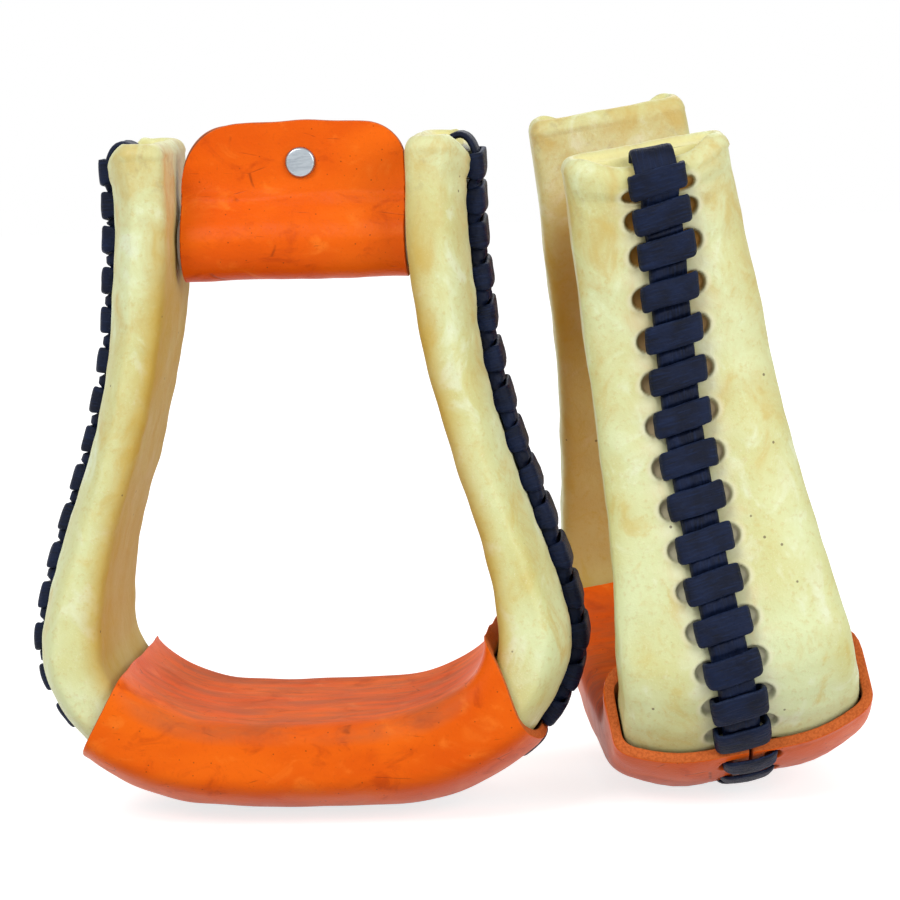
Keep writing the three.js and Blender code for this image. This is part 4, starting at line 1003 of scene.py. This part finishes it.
def rawhide_look():
    look = Look("rawhide_look")
    broad = look.noise((0.03, 0.03, 0.022))
    patch = look.noise((0.085, 0.085, 0.06), 4.0, 0.6, 0.6)
    grain = look.noise(0.5, 3.0, 0.65)
    fine = look.noise(1.7, 2.0, 0.6)
    neck, inner = look.value("neck"), look.value("inner")
    color = look.blend(look.step(broad, 0.35, 0.66), srgb(222, 230, 178), srgb(214, 212, 146))
    color = look.tint(color, look.step(patch, 0.52, 0.72, 0.6), 210, 184, 94)
    color = look.tint(color, look.step(patch, 0.46, 0.28, 0.6), 236, 242, 212)
    color = look.tint(color, look.step(grain, 0.5, 0.74, 0.4), 204, 184, 112)
    color = look.tint(color, look.step(fine, 0.55, 0.8, 0.3), 247, 244, 216)
    color = look.tint(color, look.times(neck, look.step(patch, 0.35, 0.65, 0.45)), 206, 178, 104)
    # Painted shade: the rails' inner faces, marked by the inner value, are tinted darker amber
    painted_inner_shade = look.times(inner, look.plus(look.times(broad, 0.35), 0.55))
    color = look.tint(color, painted_inner_shade, 188, 146, 26)
    color = look.tint(color, look.times(look.value("dish"), 0.7), 238, 229, 160)
    color = look.tint(color, look.times(look.value("rim"), 0.55), 243, 238, 208)
    soiled = look.times(look.value("top"), look.step(look.noise(0.16, 5.0, 0.7), 0.52, 0.72, 0.36))
    color = look.tint(color, soiled, 168, 148, 110)
    pit_color = look.blend(neck, srgb(216, 212, 182), srgb(158, 112, 44))
    color = look.blend(look.value("pit"), color, pit_color)
    color = look.tint(color, look.step(look.cells(0.105), 0.062, 0.035, 0.75), 92, 74, 52)
    rough = look.plus(look.times(grain, 0.22), 0.32)
    rough = look.plus(rough, look.times(inner, 0.25))
    normal = look.bump(grain, 0.3, 0.0006, look.bump(fine, 0.25, 0.0003))
    return look.finish(color, rough, normal, Specular_IOR_Level=0.26)


def leather_look():
    look = Look("saddle_leather_look")
    broad = look.noise((0.02, 0.03, 0.04), 3.0, 0.5, 0.4)
    patch = look.noise((0.07, 0.09, 0.11), 5.0, 0.62, 0.8)
    fine = look.noise(0.9, 3.0, 0.65)
    tread, edge = look.value("tread"), look.value("edge")
    color = look.blend(look.step(broad, 0.35, 0.65), srgb(243, 106, 8), srgb(229, 90, 2))
    color = look.tint(color, look.step(patch, 0.52, 0.74, 0.62), 192, 64, 4)
    color = look.tint(color, look.step(patch, 0.44, 0.26, 0.5), 251, 130, 38)
    color = look.tint(color, look.step(fine, 0.56, 0.8, 0.35), 188, 70, 12)
    # dark crease lines: painted shade in the leather's creases, also used as grooves in the bump
    lines = look.step(look.cells((0.035, 0.05, 0.13), "DISTANCE_TO_EDGE"), 0.022, 0.0)
    creased = look.times(lines, look.step(look.noise(0.09), 0.56, 0.68))
    color = look.tint(color, look.times(creased, 0.55), 120, 40, 6)
    color = look.tint(color, look.step(look.cells(0.3), 0.10, 0.05, 0.55), 96, 34, 8)
    # Tread top: greyish streaks, partly real wear and partly a painted sheen
    wear_and_sheen_streak = look.step(look.noise((0.04, 0.16, 0.04), 5.0, 0.65), 0.34, 0.7, 0.42)
    color = look.tint(color, look.times(tread, look.plus(wear_and_sheen_streak, 0.1)), 146, 90, 62)
    color = look.tint(color, look.times(look.value("inner"), 0.85), 150, 104, 74)
    fuzz = look.step(look.noise(1.3, 3.0, 0.6), 0.35, 0.7)
    cut = look.blend(fuzz, srgb(206, 106, 50), srgb(178, 84, 36))
    color = look.blend(look.step(edge, 0.15, 0.75), color, cut)
    # Painted shade: the sleeve's lace holes are darkened
    color = look.tint(color, look.times(look.value("pit"), 0.85), 86, 32, 10)
    rough = look.plus(look.times(patch, 0.25), 0.27)
    rough = look.plus(rough, look.times(look.plus(edge, tread), 0.3))
    normal = look.bump(fine, 0.16, 0.0004, look.bump(look.cells(1.1), 0.16, 0.0003))
    normal = look.bump(look.math("SUBTRACT", patch, creased), 0.2, 0.0008, normal)
    return look.finish(color, rough, normal, Specular_IOR_Level=0.12)


def lace_look():
    look = Look("lace_leather_look")
    along = look.noise(look.flow(0.16, 1.5), 4.0, 0.6, 0.5)
    fine = look.noise(2.0, 2.0, 0.6)
    broad = look.noise(0.12, 3.0, 0.5)
    color = look.blend(look.step(broad, 0.35, 0.65), srgb(6, 14, 34), srgb(13, 25, 52))
    # Painted highlights and shade: lighter and darker streaks along the lace
    color = look.tint(color, look.step(along, 0.5, 0.68, 0.5), 28, 42, 74)
    color = look.tint(color, look.step(along, 0.42, 0.3, 0.7), 4, 7, 16)
    worn = look.times(look.step(look.value("edge"), 0.86, 1.0), look.step(fine, 0.35, 0.6, 0.4))
    color = look.tint(color, worn, 48, 62, 92)
    rough = look.plus(look.times(along, 0.3), 0.36)
    normal = look.bump(look.cells(0.75, "SMOOTH_F1"), 0.4, 0.0005, look.bump(fine, 0.25, 0.0003))
    normal = look.bump(along, 0.5, 0.0008, normal)
    return look.finish(color, rough, normal, Specular_IOR_Level=0.14)


def nickel_look():
    look = Look("nickel_look")
    scuff = look.noise((0.25, 1.2, 1.8), 5.0, 0.7, 0.6)
    color = look.blend(look.step(scuff, 0.35, 0.7), srgb(176, 184, 190), srgb(148, 156, 164))
    color = look.tint(color, look.step(look.cells(0.55), 0.16, 0.08, 0.7), 92, 84, 78)
    rough = look.plus(look.times(scuff, 0.25), 0.26)
    rough = look.math("SUBTRACT", rough, look.step(look.value("radius"), 3.8, 4.6, 0.12))
    normal = look.bump(look.noise(0.2), 0.1, 0.0004, look.bump(scuff, 0.12, 0.0002))
    return look.finish(color, rough, normal, Metallic=0.9)


def steel_look():
    look = Look("steel_look")
    brushed = look.noise((1.4, 0.2, 0.2), 4.0, 0.6)
    color = look.blend(look.step(brushed, 0.3, 0.7), srgb(162, 166, 170), srgb(122, 126, 130))
    rough = look.plus(look.times(brushed, 0.3), 0.28)
    return look.finish(color, rough, look.bump(brushed, 0.1, 0.0003), Metallic=1.0)


def wood_look():
    look = Look("wood_look")
    warp = look.noise((0.05, 0.012, 0.05), 4.0, 0.6, 1.2)
    rings = look.math("SINE", look.times(warp, 60.0))
    pore = look.noise((0.9, 0.05, 0.9), 3.0, 0.7)
    color = look.blend(look.step(rings, -0.6, 0.9), srgb(201, 158, 104), srgb(168, 120, 70))
    color = look.tint(color, look.step(pore, 0.55, 0.75, 0.5), 126, 84, 46)
    rough = look.plus(look.times(pore, 0.25), 0.5)
    return look.finish(color, rough, look.bump(pore, 0.3, 0.0004))


def polymer_look():
    look = Look("polymer_look")
    fine = look.noise(2.5, 2.0)
    color = look.blend(look.step(look.noise(0.1), 0.35, 0.65), srgb(222, 222, 216), srgb(208, 208, 200))
    rough = look.plus(look.times(fine, 0.15), 0.4)
    return look.finish(color, rough, look.bump(fine, 0.15, 0.0002))


LOOKS = {
    "rawhide": rawhide_look(), "saddle_leather": leather_look(), "lace_leather": lace_look(),
    "nickel": nickel_look(), "steel": steel_look(), "wood": wood_look(), "polymer": polymer_look()}


# Where the two stirrups stand


def rotation(axis, degrees):
    return np.array(Matrix.Rotation(math.radians(degrees), 3, axis))


PAIR_SHIFT = np.array([-45.1889, -48.6707, 0.0])
OFF_TURN = rotation("Z", -81.1) @ rotation("X", 8.3) @ rotation("Y", 5.9)
PLACES = {
    "near": (np.eye(3), (PAIR_SHIFT + [0, 0, -0.5004]) * MM),
    "off": (OFF_TURN, (PAIR_SHIFT + [132.7, 56.1, 2.4873]) * MM)}
HALF_TURN = np.diag([-1.0, -1.0, 1.0])
BOLT_PLACE = np.array([0.0, 0.0, BOLT_HEIGHT]) * MM
WRAP_TURN = {"near": rotation("X", 0), "off": rotation("X", -168)}


def settle(solid, name, prefix, body, node, slot, flip=False):
    """Builds a piece at its stirrup's place, in the stead of a CAD node."""
    turn, shift = PLACES[prefix]
    if flip:
        turn = turn @ HALF_TURN
    if body.endswith("wrap"):
        shift = shift + turn @ (BOLT_PLACE - WRAP_TURN[prefix] @ BOLT_PLACE)
        turn = turn @ WRAP_TURN[prefix]
    name, node = f"{prefix}_{name}", f"{prefix}_{node}"
    piece = solid.build(name, (turn, shift))
    piece.data.materials.append(LOOKS[slot])
    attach(piece, body)
    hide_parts(node)


LACE_OVER = 2 * CLEARANCE + 1.5 + RAIL_LACE_THICKNESS / 2
LACE_UNDER = -(RAWHIDE + 3 * CLEARANCE + LACE_THICKNESS / 2)
SLEEVE_OVER = 2 * CLEARANCE + LACE_THICKNESS / 2
SLEEVE_UNDER = -(LEATHER + 2 * CLEARANCE + LACE_THICKNESS / 2)
SEEDS = {"near": 11, "off": 47}

for prefix, seed in SEEDS.items():
    main, wrap = f"{prefix}_stirrup", f"{prefix}_wrap"
    for rail, fold_rise, own in zip(("outside", "inside"), FOLD_RISE[prefix], (seed, seed + 5)):
        flip = rail == "inside"
        shell, points = cover(rail, own)
        settle(shell, f"{rail}_rail_cover", prefix, main, f"{rail}_rawhide", "rawhide", flip)
        band = seam_strip(rail, points, fold_rise, own)
        settle(band, f"{rail}_filler_strip", prefix, main, f"{rail}_seam_strip", "lace_leather", flip)
        stitched = lace(RAIL_LINE, rail_turns(RAIL_END[rail]), LACE_OVER, LACE_UNDER, True, own)
        settle(stitched, f"{rail}_rail_lace", prefix, main, f"{rail}_lace", "lace_leather", flip)
    settle(tread_sleeve(prefix, seed + 20), "sleeve", prefix, main, "tread_sleeve", "saddle_leather")
    stitches = lace(SLEEVE_LINE, sleeve_turns(), SLEEVE_OVER, SLEEVE_UNDER, False, seed + 21)
    settle(stitches, "sleeve_stitches", prefix, main, "sleeve_lace", "lace_leather")
    settle(neck_wrap(seed + 22), "strap_wrap", prefix, wrap, "neck_wrap", "saddle_leather")
    head = turned(HEAD_PROFILE, 72, -PLY - CLEARANCE, False)
    settle(head, "rivet_head", prefix, wrap, "wrap_rivet", "nickel")
    ring = turned(CAP_PROFILE, 64, PLY + CLEARANCE, True)
    settle(ring, "rivet_back", prefix, wrap, "rivet_cap", "nickel")

# The hidden solids keep their CAD shape and get their own looks
KEPT = {
    "bentwood_frame": "wood", "tread_block": "wood", "tread_screw_1": "steel", "tread_screw_2": "steel",
    "neck_bolt": "steel", "bolt_washer": "steel", "bolt_nut": "steel", "neck_roller": "polymer"}
for prefix in SEEDS:
    for node, slot in KEPT.items():
        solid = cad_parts[f"{prefix}_{node}"]
        if not solid.material_slots:
            solid.data.materials.append(LOOKS[slot])
        for place in solid.material_slots:
            place.material = LOOKS[slot]

# Camera, floor and light
CAMERA_PLACE = (0.10069, -1.18840, 0.25886)
CAMERA_TURN, CAMERA_DOWN, CAMERA_ROLL = map(math.radians, (4.933, 7.141, 1.871))
FOCAL_LENGTH, SENSOR_WIDTH = 142.61, 36
FLOOR_HALF, FLOOR_DROP = 3.0, 0.0004
FLOOR_GREY, FLOOR_GLOW, AMBIENT_LIGHT = 0.58, 0.76, 0.5
# Place, size and power of the lamps, and what they point at
LAMPS = {
    "key": ((-0.9, -1.5, 1.5), 0.9, 20),
    "fill": ((1.3, -1.3, 0.8), 1.0, 15),
    "back": ((0.2, 1.5, 1.4), 1.2, 9)}
LAMP_AIM = Vector((0, 0, 0.1))

camera = show(bpy.data.objects.new("camera", bpy.data.cameras.new("camera")))
camera.location = CAMERA_PLACE
sight = Vector((-math.sin(CAMERA_TURN) * math.cos(CAMERA_DOWN), math.cos(CAMERA_TURN) * math.cos(CAMERA_DOWN),
                -math.sin(CAMERA_DOWN)))
camera.rotation_mode = "QUATERNION"
camera.rotation_quaternion = sight.to_track_quat("-Z", "Y") @ Quaternion((0, 0, 1), -CAMERA_ROLL)
camera.data.lens = FOCAL_LENGTH
camera.data.sensor_width = SENSOR_WIDTH
camera.data.clip_start, camera.data.clip_end = 0.05, 30
bpy.context.scene.camera = camera


def seen_directly(tree):
    """1 for rays from the camera, mirrors and glass, else 0."""
    path = tree.nodes.new("ShaderNodeLightPath")
    total = path.outputs["Is Camera Ray"]
    for kind in ("Is Glossy Ray", "Is Transmission Ray"):
        add = tree.nodes.new("ShaderNodeMath")
        add.operation, add.use_clamp = "ADD", True
        tree.links.new(total, add.inputs[0])
        tree.links.new(path.outputs[kind], add.inputs[1])
        total = add.outputs[0]
    return total


def floor_look():
    """Pale floor that keeps the shadow and looks white to the camera."""
    material = bpy.data.materials.new("floor_look")
    material.use_nodes = True
    tree = material.node_tree
    tree.nodes.remove(tree.nodes["Principled BSDF"])
    diffuse = tree.nodes.new("ShaderNodeBsdfDiffuse")
    diffuse.inputs["Color"].default_value = (FLOOR_GREY,) * 3 + (1,)
    glow = tree.nodes.new("ShaderNodeEmission")
    glow.inputs["Color"].default_value = (FLOOR_GLOW,) * 3 + (1,)
    tree.links.new(seen_directly(tree), glow.inputs["Strength"])
    both = tree.nodes.new("ShaderNodeAddShader")
    tree.links.new(diffuse.outputs[0], both.inputs[0])
    tree.links.new(glow.outputs[0], both.inputs[1])
    tree.links.new(both.outputs[0], tree.nodes["Material Output"].inputs["Surface"])
    return material


floor_mesh = bpy.data.meshes.new("floor")
corners = [(FLOOR_HALF * x, FLOOR_HALF * y, 0) for x, y in ((-1, -1), (1, -1), (1, 1), (-1, 1))]
floor_mesh.from_pydata(corners, [], [(0, 1, 2, 3)])
floor_mesh.materials.append(floor_look())
floor = show(bpy.data.objects.new("floor", floor_mesh))
floor.location.z = -FLOOR_DROP

world = bpy.data.worlds.new("studio")
bpy.context.scene.world = world
world.use_nodes = True
tree = world.node_tree
ambient = tree.nodes["Background"]
ambient.inputs["Color"].default_value = (1, 1, 1, 1)
strength = tree.nodes.new("ShaderNodeMapRange")
strength.inputs["To Min"].default_value = AMBIENT_LIGHT
strength.inputs["To Max"].default_value = 1.0
tree.links.new(seen_directly(tree), strength.inputs["Value"])
tree.links.new(strength.outputs["Result"], ambient.inputs["Strength"])

for name, (place, size, watts) in LAMPS.items():
    data = bpy.data.lights.new(name, "AREA")
    data.shape, data.size, data.energy = "SQUARE", size, watts
    lamp = show(bpy.data.objects.new(name, data))
    lamp.location = place
    lamp.rotation_mode = "QUATERNION"
    lamp.rotation_quaternion = (LAMP_AIM - Vector(place)).to_track_quat("-Z", "Y")

bpy.context.scene.view_settings.view_transform = "Standard"
